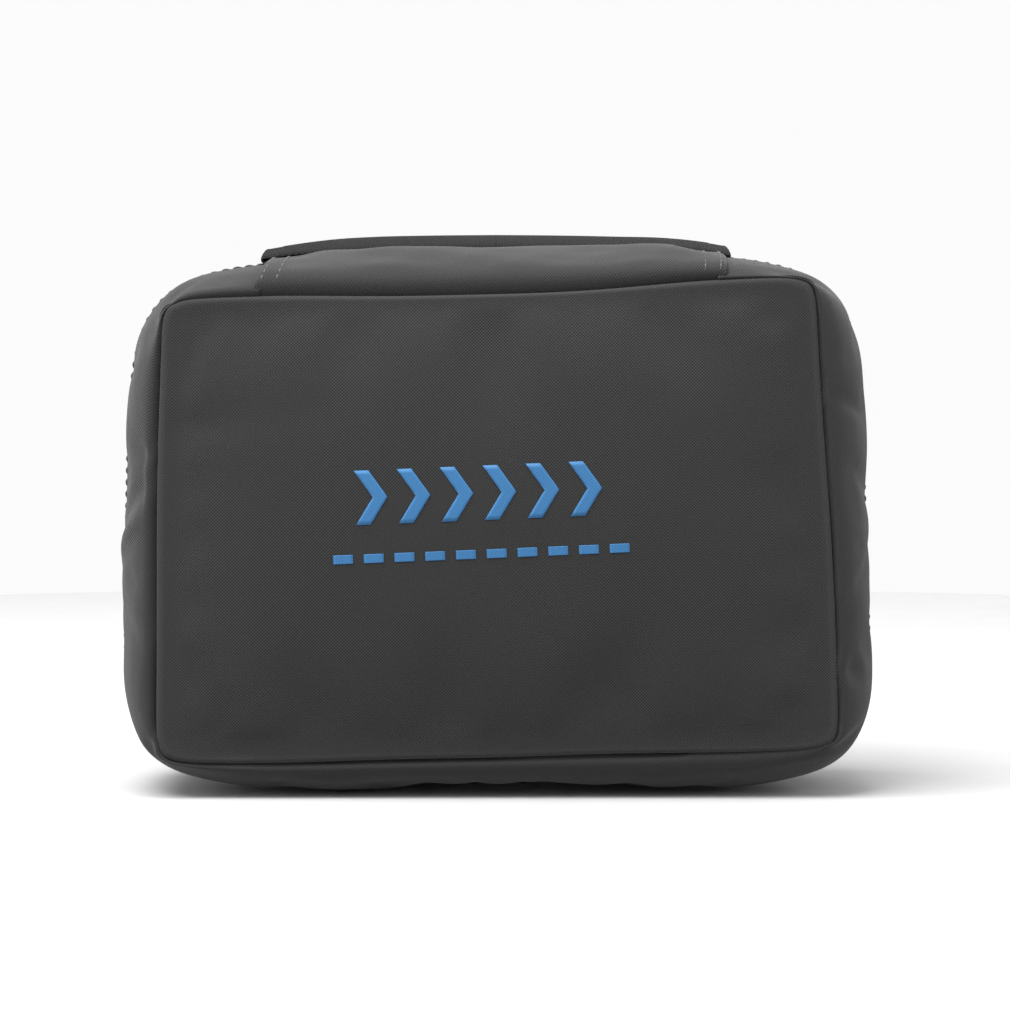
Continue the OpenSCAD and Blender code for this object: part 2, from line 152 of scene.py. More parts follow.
def freeze(obj):
    # the evaluated mesh takes the place of the mesh and its modifiers, with its volume made positive
    graph = bpy.context.evaluated_depsgraph_get()
    graph.update()
    mesh = bpy.data.meshes.new_from_object(obj.evaluated_get(graph), preserve_all_data_layers=True,
                                           depsgraph=graph)
    obj.modifiers.clear()
    obj.data = mesh
    faceOutward(obj)


def faceOutward(obj):
    # six times the volume is the sum over triangles of a . (b x c); a negative one is inside out
    mesh = obj.data
    mesh.calc_loop_triangles()
    tris = np.empty(len(mesh.loop_triangles) * 3, np.int32)
    mesh.loop_triangles.foreach_get("vertices", tris)
    corner = meshPoints(obj)[tris.reshape(-1, 3)]
    corner = corner - corner.reshape(-1, 3).mean(0)
    if np.einsum("ij,ij->i", corner[:, 0], np.cross(corner[:, 1], corner[:, 2])).sum() < 0:
        mesh.flip_normals()


def meshPoints(obj):  # vertex places, mm
    co = np.empty(len(obj.data.vertices) * 3)
    obj.data.vertices.foreach_get("co", co)
    return co.reshape(-1, 3) / mm


def setPoints(obj, points):
    obj.data.vertices.foreach_set("co", (np.asarray(points) * mm).ravel())
    obj.data.update()


def clothSheet(name, points, thick, uv=None, paintedSheen=None, smooth=0, side=-1.0):
    # a sheet of cloth: the grid given a thickness on the side that its normals turn from
    obj = gridMesh(name, points, uv, paintedSheen)
    if smooth:
        addModifier(obj, "SUBSURF", levels=smooth, render_levels=smooth)
    addModifier(obj, "SOLIDIFY", thickness=thick * mm, offset=side, use_even_offset=True)
    freeze(obj)
    return obj


def keep(obj, material, body=None, nodes=()):
    obj.data.materials.clear()
    obj.data.materials.append(material)
    if body:
        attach(obj, body)
    if nodes:
        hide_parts(*nodes)
    return obj


def tube(path, radius, sides=6, wide=None, up=(0.0, 0.0, 1.0)):
    # points of a tube: path + wide side cos a + radius rise sin a, wide being the radius if not given
    path = np.asarray(path, float)
    wide = radius if wide is None else wide
    along = np.gradient(path, axis=0)
    along /= np.linalg.norm(along, axis=1)[:, None]
    side = np.cross(along, np.asarray(up, float))
    side /= np.linalg.norm(side, axis=1)[:, None]
    rise = np.cross(side, along)
    a = np.arange(sides) * 2 * math.pi / sides
    ring = side[:, None, :] * (np.cos(a) * wide)[None, :, None] \
        + rise[:, None, :] * (np.sin(a) * radius)[None, :, None]
    return path[:, None, :] + ring


def runOf(line):  # running length along a line's points
    return np.concatenate([[0], np.cumsum(np.linalg.norm(np.diff(line, axis=0), axis=1))])


def strapSection(line, halfWide, thick, sides):
    # a flat strap round a plane line, |s / halfWide|^8 + |2 t / thick|^2 = 1 across it: the two places in the
    # line's plane, the place s across it, and the running length with an entry for each capped end
    tangent = np.gradient(line, axis=0)
    tangent /= np.linalg.norm(tangent, axis=1)[:, None]
    normal = np.stack([-tangent[:, 1], tangent[:, 0]], -1)
    b = np.linspace(0, 2 * math.pi, sides, endpoint=False)
    s = halfWide * signedPower(np.cos(b), 0.25)
    t = thick / 2 * np.sin(b)
    run = runOf(line)
    return (line[:, :1] + normal[:, :1] * t, line[:, 1:] + normal[:, 1:] * t, s,
            np.concatenate([run[:1], run, run[-1:]])[:, None])


def capped(rings):
    # a tube's rings with both ends drawn to a point, as one array of rows
    start = np.repeat(rings[:1].mean(1, keepdims=True), rings.shape[1], 1)
    end = np.repeat(rings[-1:].mean(1, keepdims=True), rings.shape[1], 1)
    return np.concatenate([start, rings, end])


def stitchRow(name, places, along, outward, length=2.7, radius=0.34, sink=0.12):
    # places, along and outward are n by 3; each stitch is a small spindle bowed up from the cloth
    t = np.linspace(0, 1, 5)
    a = np.arange(6) * math.pi / 3
    fat = np.array([0.25, 0.85, 1.0, 0.85, 0.25]) * radius
    along = along / np.linalg.norm(along, axis=1)[:, None]
    outward = outward / np.linalg.norm(outward, axis=1)[:, None]
    side = np.cross(along, outward)
    bow = radius * 0.9 * np.sin(math.pi * t) - sink
    spots = (places[:, None, None, :] + along[:, None, None, :] * ((t - 0.5) * length)[None, :, None, None]
             + outward[:, None, None, :] * (bow[:, None] + fat[:, None] * np.sin(a))[None, :, :, None]
             + side[:, None, None, :] * (fat[:, None] * np.cos(a))[None, :, :, None])
    count = len(places)
    one = gridFaces(5, 6, closeV=True)
    ends = np.array([[0, 1, 2, 3], [0, 3, 4, 5], [27, 26, 25, 24], [29, 28, 27, 24]])
    one = np.concatenate([one, ends])
    faces = (one[None] + 30 * np.arange(count)[:, None, None]).reshape(-1, 4)
    obj = makeMesh(name, spots.reshape(-1, 3), faces)
    faceOutward(obj)
    return obj


def joinMeshes(name, objs):
    # one object from several, all at the origin
    with bpy.context.temp_override(active_object=objs[0], selected_editable_objects=objs,
                                   selected_objects=objs):
        bpy.ops.object.join()
    objs[0].name = name
    return objs[0]


# colours and finishes

def linearColour(text):  # sRGB hex to linear: ((c + .055) / 1.055)^2.4, or c / 12.92 when dark
    c = [int(text[k:k + 2], 16) / 255.0 for k in (1, 3, 5)]
    return tuple(v / 12.92 if v <= 0.04045 else ((v + 0.055) / 1.055) ** 2.4 for v in c) + (1.0,)


def addNode(tree, kind, settings=None, inputs=None, links=None):
    node = tree.nodes.new("ShaderNode" + kind)
    for key, value in (settings or {}).items():
        setattr(node, key, value)
    for key, value in (inputs or {}).items():
        node.inputs[key].default_value = value
    for key, socket in (links or {}).items():
        tree.links.new(socket, node.inputs[key])
    return node


def addNoise(tree, coords, scale, detail):  # noise in the object's own coordinates
    return addNode(tree, "TexNoise", inputs={"Scale": scale, "Detail": detail},
                   links={"Vector": coords.outputs["Object"]})


def clothFinish(name, gap, crown, threadU, threadV, relief=0.5, deep=0.12, rough=0.85, sheen=0.1, mottle=0.12,
                ribs=0.0, paintedSheenColour=None, spots=18.0, shine=0.3):
    # woven cloth: height = sin(pi u / threadU) sin(pi v / threadV) + ribs sin^2(pi u / threadU) + fuzz / 2,
    # from gap colour to crown colour; slow mottling and a short fuzz keep it from looking printed
    mat = bpy.data.materials.new(name)
    mat.use_nodes = True
    tree = mat.node_tree
    shader = tree.nodes["Principled BSDF"]
    place = addNode(tree, "UVMap", {"uv_map": "cloth"})
    split = addNode(tree, "SeparateXYZ", links={0: place.outputs[0]})
    turnU = addNode(tree, "Math", {"operation": "MULTIPLY"}, {1: math.pi / threadU}, {0: split.outputs[0]})
    turnV = addNode(tree, "Math", {"operation": "MULTIPLY"}, {1: math.pi / threadV}, {0: split.outputs[1]})
    sineU = addNode(tree, "Math", {"operation": "SINE"}, links={0: turnU.outputs[0]})
    sineV = addNode(tree, "Math", {"operation": "SINE"}, links={0: turnV.outputs[0]})
    height = addNode(tree, "Math", {"operation": "MULTIPLY"},
                     links={0: sineU.outputs[0], 1: sineV.outputs[0]})
    if ribs:
        square = addNode(tree, "Math", {"operation": "MULTIPLY"},
                         links={0: sineU.outputs[0], 1: sineU.outputs[0]})
        height = addNode(tree, "Math", {"operation": "MULTIPLY_ADD"}, {1: ribs},
                         {0: square.outputs[0], 2: height.outputs[0]})
    coords = addNode(tree, "TexCoord")
    slow = addNoise(tree, coords, spots, 3.0)
    fuzz = addNoise(tree, coords, 1400.0, 2.0)
    rise = addNode(tree, "Math", {"operation": "MULTIPLY_ADD"}, {1: 0.5},
                   {0: fuzz.outputs["Fac"], 2: height.outputs[0]})
    share = addNode(tree, "MapRange", inputs={"From Min": -0.6, "From Max": 1.5 + ribs},
                    links={"Value": rise.outputs[0]})
    yarn = addNode(tree, "Mix", {"data_type": "RGBA"}, {6: linearColour(gap), 7: linearColour(crown)},
                   {0: share.outputs[0]})
    tone = addNode(tree, "MapRange", inputs={"From Min": 0.3, "From Max": 0.7, "To Min": 1 - mottle,
                                            "To Max": 1 + mottle}, links={"Value": slow.outputs["Fac"]})
    shade = addNode(tree, "Mix", {"data_type": "RGBA", "blend_type": "MULTIPLY"}, {0: 1.0},
                    {6: yarn.outputs[2], 7: tone.outputs[0]})
    colour = shade.outputs[2]
    if paintedSheenColour:  # painted sheen: the colour goes paler where the per-point share is set, standing in for light caught along the panels' turned edge
        paintedSheen = addNode(tree, "Attribute", {"attribute_name": "paintedSheen"})
        paintedSheenMix = addNode(tree, "Mix", {"data_type": "RGBA"}, {7: linearColour(paintedSheenColour)},
                         {0: paintedSheen.outputs["Fac"], 6: colour})
        colour = paintedSheenMix.outputs[2]
    tree.links.new(colour, shader.inputs["Base Color"])
    bump = addNode(tree, "Bump", inputs={"Strength": relief, "Distance": deep * mm},
                   links={"Height": rise.outputs[0]})
    tree.links.new(bump.outputs[0], shader.inputs["Normal"])
    gloss = addNode(tree, "MapRange", inputs={"To Min": rough - 0.08, "To Max": min(rough + 0.08, 1.0)},
                    links={"Value": slow.outputs["Fac"]})
    tree.links.new(gloss.outputs[0], shader.inputs["Roughness"])
    shader.inputs["Sheen Weight"].default_value = sheen
    shader.inputs["Sheen Roughness"].default_value = 0.45
    shader.inputs["Specular IOR Level"].default_value = shine
    return mat


def hardFinish(name, colour, pale, rough, metallic=0.0, ior=1.5, grain=700.0, relief=0.15, blotch=60.0):
    # moulded, cast or drawn surface: a fine grain in the bump, a slow drift in colour and gloss
    mat = bpy.data.materials.new(name)
    mat.use_nodes = True
    tree = mat.node_tree
    shader = tree.nodes["Principled BSDF"]
    coords = addNode(tree, "TexCoord")
    fine = addNoise(tree, coords, grain, 4.0)
    slow = addNoise(tree, coords, blotch, 2.0)
    mix = addNode(tree, "Mix", {"data_type": "RGBA"}, {6: linearColour(colour), 7: linearColour(pale)},
                  {0: slow.outputs["Fac"]})
    gloss = addNode(tree, "MapRange", inputs={"To Min": rough * 0.75, "To Max": rough * 1.25},
                    links={"Value": fine.outputs["Fac"]})
    bump = addNode(tree, "Bump", inputs={"Strength": relief, "Distance": 0.05 * mm},
                   links={"Height": fine.outputs["Fac"]})
    tree.links.new(mix.outputs[2], shader.inputs["Base Color"])
    tree.links.new(gloss.outputs[0], shader.inputs["Roughness"])
    tree.links.new(bump.outputs[0], shader.inputs["Normal"])
    shader.inputs["Metallic"].default_value = metallic
    if not metallic:
        shader.inputs["IOR"].default_value = ior
    return mat


# 600 denier polyester oxford, dyed charcoal, two yarns woven as one: 0.5 mm threads read as a fine chequer
# the paler colour given last is painted sheen, laid along the padded panels' turned edges
oxfordCloth = clothFinish("polyester_oxford", "#111112", "#262627", 0.5, 0.5, relief=0.6, deep=0.16,
                          paintedSheenColour="#323233")
# polyester taffeta, hot pressed: close threads, drawn here 0.4 mm apart so that they show, and a faint shine
liningTaffeta = clothFinish("polyester_taffeta", "#1a1a1c", "#2a2a2e", 0.4, 0.4, relief=0.25, deep=0.06,
                            rough=0.6, sheen=0.15)
# polypropylene webbing woven in ribs 1 mm apart, crossed by rows 0.9 mm apart: darker, duller than the cloth
strapWebbing = clothFinish("polypropylene_webbing", "#09090a", "#1d1d1e", 1.04, 0.88, relief=0.9, deep=0.3,
                           rough=0.8, ribs=0.8, sheen=0.0, shine=0.08)
# polyester tape, herringbone woven: narrow ribs along the zip
zipTape = clothFinish("polyester_zip_tape", "#19191a", "#2f2f31", 0.7, 0.45, relief=0.5, ribs=0.6, sheen=0.2)
# knitted elastic: raised cords along its length, 1.2 mm apart
knitElastic = clothFinish("knitted_elastic", "#2a2a2c", "#58585b", 1.2, 0.7, relief=0.8, deep=0.25, ribs=0.9,
                          rough=0.75)
# screen print, an opaque plastisol ink on the cloth: flat blue, slightly satin, the weave shows through
screenInk = clothFinish("plastisol_screen_print", "#21517b", "#2c6592", 0.5, 0.5, relief=0.35, deep=0.08,
                        rough=0.6, sheen=0.0, mottle=0.04)
# spun polyester sewing thread: twisted, a little shinier than the cloth
sewingThread = hardFinish("polyester_thread", "#29292b", "#3f3f42", 0.55, grain=2600.0, relief=0.6)
# warp-knitted polyester net: matt fine yarn
netYarn = hardFinish("polyester_net_yarn", "#2a2a2c", "#48484b", 0.7, grain=2600.0, relief=0.4)
# nylon monofilament wound into a coil: smooth, waxy highlight
nylonCoil = hardFinish("nylon_monofilament", "#18181a", "#2b2b2e", 0.35, ior=1.53, grain=1800.0, relief=0.1)
# zinc slider, die cast and lacquered black: thin gloss over metal
lacqueredZinc = hardFinish("lacquered_zinc", "#1c1c1e", "#2c2c2f", 0.32, metallic=0.65, grain=500.0,
                           relief=0.08)
# acetal, injection moulded in a spark-eroded tool: black with a fine even grain
mouldedAcetal = hardFinish("moulded_acetal", "#161618", "#222225", 0.42, ior=1.48, grain=1500.0, relief=0.3)
print("stage 2: finishes made")


# the bag's outlines

bag = {
    "halfWidth": 122.4,  # at the zip
    "height": 171.0,
    "zipPower": 6.0,  # |x / a|^n + |z / b|^n = 1 at the zip
    "seamPower": 24.0,  # and at the panel's seam
    "seamHalfWidth": 104.9,
    "seamLow": 13.6,
    "seamHigh": 160.4,
    "zipEdge": 4.4,  # the gusset cloth's turned edge, from the middle of the bag
    "zipRise": 6.0,  # how far the zip is drawn up under the bag
    "spineHalf": 73.3,  # the gussets end here, under the spine cloth
    "wallRun": 612.0,  # length of the zip line, for the cloth's own coordinates
    "creaseRun": 620.0,  # the same, for the creases
    "cloth": 0.9,
    "foldY": 14.0,
    "foldZ": 171.0,
}
# how far each corner of an outline is pulled out of square, x and z in mm
lidCorners = {"lowLeft": (-2.4, -2.6), "lowRight": (3.9, 1.3),
              "topLeft": (-0.2, -1.6), "topRight": (-4.6, 5.6)}
caseCorners = {"lowLeft": (0.8, 0.6), "lowRight": (-1.6, -1.4),
               "topLeft": (1.4, 1.2), "topRight": (-1.0, -0.8)}
zipCorners = {"lowLeft": (1.6, 0.4), "lowRight": (-0.8, -0.2),
              "topLeft": (5.6, -1.8), "topRight": (-5.6, 0.8)}


def cornerPull(x, z, corners, halfX, low, high):
    # bilinear blend of the four corner moves
    p = np.clip(x / (2 * halfX) + 0.5, 0, 1)
    q = np.clip((z - low) / (high - low), 0, 1)
    return [(1 - q) * ((1 - p) * corners["lowLeft"][k] + p * corners["lowRight"][k])
            + q * ((1 - p) * corners["topLeft"][k] + p * corners["topRight"][k]) for k in (0, 1)]


def shapeOutline(x, z, edge, halfX, low, high, corners, wander, seed, sag):
    # a point of the plain superellipse, moved by the corners, by a slow wave along the edge and by its top
    # edge's droop, sag exp(-((x - 6) / 62)^2); edge is 1 at the outline and 0 in the middle
    dx, dz = cornerPull(x, z, corners, halfX, low, high)
    bow = wander * softNoise(x, z, seed, 190.0, 60.0, 4) * edge
    flat = np.clip(np.abs(z - (low + high) / 2) / ((high - low) / 2), 0, 1) ** 6
    droop = sag * np.exp(-((x - 6.0) / 62.0) ** 2) * flat * (z > (low + high) / 2) * edge
    return x + dx + bow * (1 - flat) * np.sign(x), z + dz + bow * flat * np.sign(z - (low + high) / 2) - droop


def outlineTable(halfX, low, high, power, endX, corners, wander, seed, sag):
    # an open superellipse from x = -endX at the top, down the left, along the base and up to x = +endX,
    # as 3001 points equally spaced, with its inward normals
    a = np.linspace(math.pi / 2, 2.5 * math.pi, 24001)
    x = halfX * signedPower(np.cos(a), 2 / power)
    z = (low + high) / 2 + (high - low) / 2 * signedPower(np.sin(a), 2 / power)
    use = ~((np.abs(x) < endX) & (z > (low + high) / 2))
    x, z = shapeOutline(x[use], z[use], 1.0, halfX, low, high, corners, wander, seed, sag)
    run = np.concatenate([[0], np.cumsum(np.hypot(np.diff(x), np.diff(z)))])
    u = np.linspace(0, run[-1], 3001)
    x, z = np.interp(u, run, x), np.interp(u, run, z)
    tangent = np.stack([np.gradient(x), np.gradient(z)], -1)
    tangent /= np.linalg.norm(tangent, axis=1)[:, None]
    return {"x": x, "z": z, "nx": -tangent[:, 1], "nz": tangent[:, 0], "length": run[-1]}


def outlineOf(name):  # the numbers that shape one of the three outlines
    if name == "zip":
        return (bag["halfWidth"], 0.0, bag["height"], bag["zipPower"]), (zipCorners, 0.5, 13, 0.0)
    corners, sag = {"lid": (lidCorners, 4.2), "case": (caseCorners, 1.5)}[name]
    return (bag["seamHalfWidth"], bag["seamLow"], bag["seamHigh"], bag["seamPower"]), (corners, 0.9, 11, sag)


def openOutline(name):
    size, look = outlineOf(name)
    return outlineTable(*size, bag["spineHalf"], *look)


seams = {"lid": openOutline("lid"), "case": openOutline("case")}
zipLine = openOutline("zip")
sideOf = {"lid": -1.0, "case": 1.0}


def lookUp(table, key, u):  # value at fraction u of the outline's length
    return np.interp(u, np.linspace(0, 1, 3001), table[key])


def bulge(ay):
    # share of the way from the seam's outline to the zip's, by distance ay from the middle of the bag
    return softCurve(ay, [0, 8, 16, 24.5, 32.2, 37.0, 38.6, 39.4, 40],
                     [1, 0.995, 0.96, 0.88, 0.70, 0.44, 0.24, 0.06, -0.05])


def wallPoints(half, u, ay, depth, share=None):
    # a point of the bag's wall: seam(u) + (zip(u) - seam(u)) share + depth inward, share being bulge(ay) if
    # none is given, lifted under the bag near the zip by rise times a smooth step; u, ay and depth broadcast
    share = bulge(np.asarray(ay, float)) if share is None else share
    u, ay, depth, f = np.broadcast_arrays(u, ay, depth, share)
    seam = seams[half]
    part = [lookUp(seam, k, u) * (1 - f) + lookUp(zipLine, k, u) * f for k in ("x", "z")]
    inward = [lookUp(seam, k, u) * (1 - f) + lookUp(zipLine, k, u) * f for k in ("nx", "nz")]
    size = np.hypot(*inward)
    x = part[0] + depth * inward[0] / size
    z = part[1] + depth * inward[1] / size
    under = np.clip((0.25 - z / (bag["height"] / 2)) / 0.2, 0, 1)
    lift = bag["zipRise"] * smoothStep((12.0 - ay) / 5.5) * under
    sag = under * baseLift(x) * smoothStep((36 - ay) / 10.0)
    z = np.maximum(z, depth * under + 0.02) + lift + sag
    return np.stack([x, np.broadcast_to(sideOf[half] * ay, x.shape), z], -1)


def baseLift(x):
    # the base stands on its ends: a low arch between them with a small pucker
    return 1.9 * np.exp(-((x - 12.0) / 34.0) ** 2) + 0.9 * np.exp(-((x + 6.0) / 3.5) ** 2)


# the two gussets

gusset = {"rowsAlong": 240, "rowsAcross": 27, "crease": 0.8, "floor": 0.95}
gussetRelax = {"pressure": 0.8, "spare": 0.005, "cap": 1.8, "frames": 20}


def gussetCross():
    # across the gusset: up out of the seam's valley, over a lip, round and down to the turned edge at the zip
    v = np.linspace(0, 1, gusset["rowsAcross"])
    ay = softCurve(v, [0, 0.05, 0.1, 0.15, 0.28, 0.43, 0.6, 0.75, 0.9, 1.0],
                   [36.6, 37.5, 38.9, 39.5, 37.6, 32.2, 24.5, 16.0, 8.0, bag["zipEdge"]])
    share = softCurve(v, [0, 0.05, 0.1, 0.15, 0.28, 0.43, 0.6, 0.75, 1.0],
                      [-0.13, 0.0, 0.06, 0.14, 0.42, 0.70, 0.88, 0.96, 1.0])
    return v, ay, share


def spread(points):
    # running length of a cross-section, for the cloth's own coordinates
    step = np.linalg.norm(np.diff(points, axis=1), axis=2)
    return np.concatenate([np.zeros((len(points), 1)), np.cumsum(step, 1)], 1)


# how the cloth answers in the simulation: a stiff, light, well damped weave
weave = {"vertex_group_mass": "pinned", "quality": 6, "mass": 0.25, "tension_stiffness": 12,
         "compression_stiffness": 6, "shear_stiffness": 4, "bending_stiffness": 6.0, "tension_damping": 12,
         "air_damping": 2}


def relaxCloth(obj, pinned, pressure, spare, cap, frames):
    # cloth simulation without gravity: held where pinned is 1, spare cloth buckles under a light pressure; a
    # point's move m becomes cap tanh(m / cap), so that none goes further than cap
    before = meshPoints(obj)
    group = obj.vertex_groups.new(name="pinned")
    for level in np.unique(np.round(pinned, 2)):
        group.add(np.nonzero(np.round(pinned, 2) == level)[0].tolist(), float(level), "REPLACE")
    mod = addModifier(obj, "CLOTH")
    cloth = mod.settings
    for key, value in weave.items():
        setattr(cloth, key, value)
    cloth.use_pressure = pressure > 0
    cloth.uniform_pressure_force = pressure
    cloth.shrink_min = -spare
    cloth.effector_weights.gravity = 0
    mod.collision_settings.use_self_collision = False
    mod.collision_settings.use_collision = False
    mod.point_cache.frame_start = 1
    mod.point_cache.frame_end = frames
    scene = bpy.context.scene
    for number in range(1, frames + 1):
        scene.frame_set(number)
    graph = bpy.context.evaluated_depsgraph_get()
    mesh = obj.evaluated_get(graph).to_mesh()
    co = np.empty(len(mesh.vertices) * 3)
    mesh.vertices.foreach_get("co", co)
    obj.evaluated_get(graph).to_mesh_clear()
    obj.modifiers.clear()
    scene.frame_set(1)
    move = co.reshape(-1, 3) / mm - before
    size = np.linalg.norm(move, axis=1)[:, None]
    move = np.nan_to_num(move / np.maximum(size, 1e-9) * cap * np.tanh(size / cap))
    setPoints(obj, before + move)
    print("  cloth", obj.name, "moved up to", round(float(size.max()), 1), "mm")


# folds pressed into a gusset: side (-1 left, 1 right), height, distance from the middle, half width, reach
# across, depth (a ridge is negative) and slant
pleats = {
    "lid": [
        (1, 124.5, 34.0, 2.0, 6.5, 1.7, 0.3), (1, 41.0, 37.0, 4.5, 2.6, 2.2, 0.0),
        (-1, 81.0, 25.0, 3.0, 11.0, -1.3, 0.6), (-1, 111.0, 34.0, 2.6, 6.5, 1.5, -0.5),
        (-1, 92.0, 30.0, 4.0, 9.0, 1.0, 0.7), (1, 73.0, 27.0, 3.5, 11.0, 1.1, -0.6),
        (1, 98.0, 24.0, 5.0, 12.0, 0.9, 0.5), (-1, 56.0, 27.0, 5.0, 12.0, 0.8, -0.4),
        (-1, 15.5, 35.5, 2.4, 6.0, 2.3, 0.6), (1, 17.5, 35.5, 2.4, 6.0, 2.3, -0.6),
        (-1, 159.0, 35.0, 2.2, 6.5, 2.0, -0.5), (1, 163.5, 35.0, 2.2, 5.0, 1.6, 0.4),
        (-1, 138.0, 22.0, 5.0, 12.0, 0.9, 0.5), (1, 145.0, 24.0, 4.5, 12.0, 1.0, -0.5),
    ],
    "case": [
        (1, 60.0, 28.0, 3.0, 11.0, 1.3, 0.5), (-1, 70.0, 30.0, 3.0, 9.0, 1.4, -0.5),
        (1, 118.0, 26.0, 4.0, 12.0, 1.1, -0.4), (-1, 128.0, 25.0, 4.0, 12.0, 1.0, 0.4),
        (-1, 16.0, 35.5, 2.4, 6.0, 2.2, 0.6), (1, 16.0, 35.5, 2.4, 6.0, 2.2, -0.6),
        (-1, 160.0, 35.0, 2.2, 6.5, 2.0, -0.5), (1, 159.0, 35.0, 2.2, 6.5, 2.0, 0.5),
    ],
}


def pressPleats(half, points):
    # each fold moves the wall inward by depth exp(-(along / width)^2) exp(-(across / reach)^2)
    x, y, z = points[..., 0], np.abs(points[..., 1]), points[..., 2]
    total = np.zeros(x.shape)
    for side, height, middle, width, reach, depth, slant in pleats[half]:
        across = y - middle
        along = z - height - slant * across
        total += depth * np.exp(-(along / width) ** 2 - (across / reach) ** 2) * (x * side > 60)
    return total


def makeGusset(half, name, seed):
    u = np.linspace(0, 1, gusset["rowsAlong"])[:, None]
    v, ay, share = gussetCross()
    crease = gusset["crease"] * softNoise(u * bag["creaseRun"], v[None, :] * 40.0, seed, 110.0, 22.0)
    loose = smoothStep((ay - 9.5) / 6.0) * smoothStep((38.0 - ay) / 4.0)
    plain = wallPoints(half, u, ay[None, :], 0.0, share[None, :])
    crease = crease * smoothStep((ay - 9.5) / 6.0) * smoothStep((39.2 - ay) / 2.0) - pressPleats(half, plain)
    points = wallPoints(half, u, ay[None, :], -crease, share[None, :])
    across = spread(points)
    obj = gridMesh(name, points, pairUv(u * bag["wallRun"], across))
    pinned = np.broadcast_to(1 - loose[None, :], across.shape).copy()
    pinned[:2] = pinned[-2:] = 1.0
    relaxCloth(obj, pinned.ravel(), **gussetRelax)
    places = meshPoints(obj)
    places[:, 2] = np.maximum(places[:, 2], gusset["floor"])
    setPoints(obj, places)
    addModifier(obj, "SUBSURF", levels=1, render_levels=1)
    addModifier(obj, "SOLIDIFY", thickness=bag["cloth"] * mm, offset=-1.0 * sideOf[half])
    freeze(obj)
    return obj


for half, node, seed in (("lid", "front_gusset", 21), ("case", "rear_gusset", 22)):
    band = keep(makeGusset(half, half + "_gusset_cloth", seed), oxfordCloth, half, [node])
print("stage 3: gussets made")


# the two padded panels

panel = {"step": 5.5, "crown": 5.0, "back": 36.05, "rim": 14.0}
panelRelax = {"pressure": 2.0, "spare": 0.008, "cap": 1.6, "frames": 20}


def panelStops(half):
    # places across the panel from -half to half, close together near both edges
    near = np.array([0, 0.5, 1.1, 1.8, 2.7, 3.9, 5.5, 7.6, 10.4, panel["rim"]])
    flat = half - panel["rim"]
    middle = np.linspace(-flat, flat, 2 + int(2 * flat / panel["step"]))
    return np.concatenate([-(half - near[:-1]), middle, (half - near[:-1])[::-1]])


def panelGrid(half, shrink=0.0):
    # a square grid carried onto the superellipse: (u, v) max(|u|, |v|) / (|u|^n + |v|^n)^(1/n)
    (halfX, low, high, power), look = outlineOf(half)
    halfZ = (high - low) / 2
    x, z = np.meshgrid(panelStops(halfX), panelStops(halfZ), indexing="ij")
    u, v = x / halfX, z / halfZ
    r = np.maximum(np.abs(u), np.abs(v))
    k = r / np.maximum(np.abs(u) ** power + np.abs(v) ** power, 1e-12) ** (1 / power)
    inX, inZ = halfX - np.abs(x), halfZ - np.abs(z)
    edge = inX * inZ / np.maximum((inX ** 3 + inZ ** 3) ** (1 / 3), 1e-9)
    x, z = x * k * (1 - shrink / halfX), z * k * (1 - shrink / halfZ)
    x, z = shapeOutline(x, z + (low + high) / 2, r ** 6, halfX, low, high, *look)
    return x, z, u, v, edge


def panelFace(u, v, edge, x, z, seed):
    # distance of the outer face from the middle of the bag: a turned edge with a slight ridge, a shallow
    # channel inside it and a low crown (1 - u^2)(1 - v^2)
    rim = softCurve(edge, [0, 0.4, 0.9, 1.6, 2.8, 5.0, 9.0, 16.0, 30.0],
                    [37.4, 39.0, 39.6, 39.8, 39.75, 39.65, 39.75, 39.95, 40.3])
    crown = panel["crown"] * (1 - u ** 2) * (1 - v ** 2)
    waves = 0.35 * softNoise(x, z, seed, 150.0, 40.0) * smoothStep(edge / 12.0)
    return rim + crown + waves


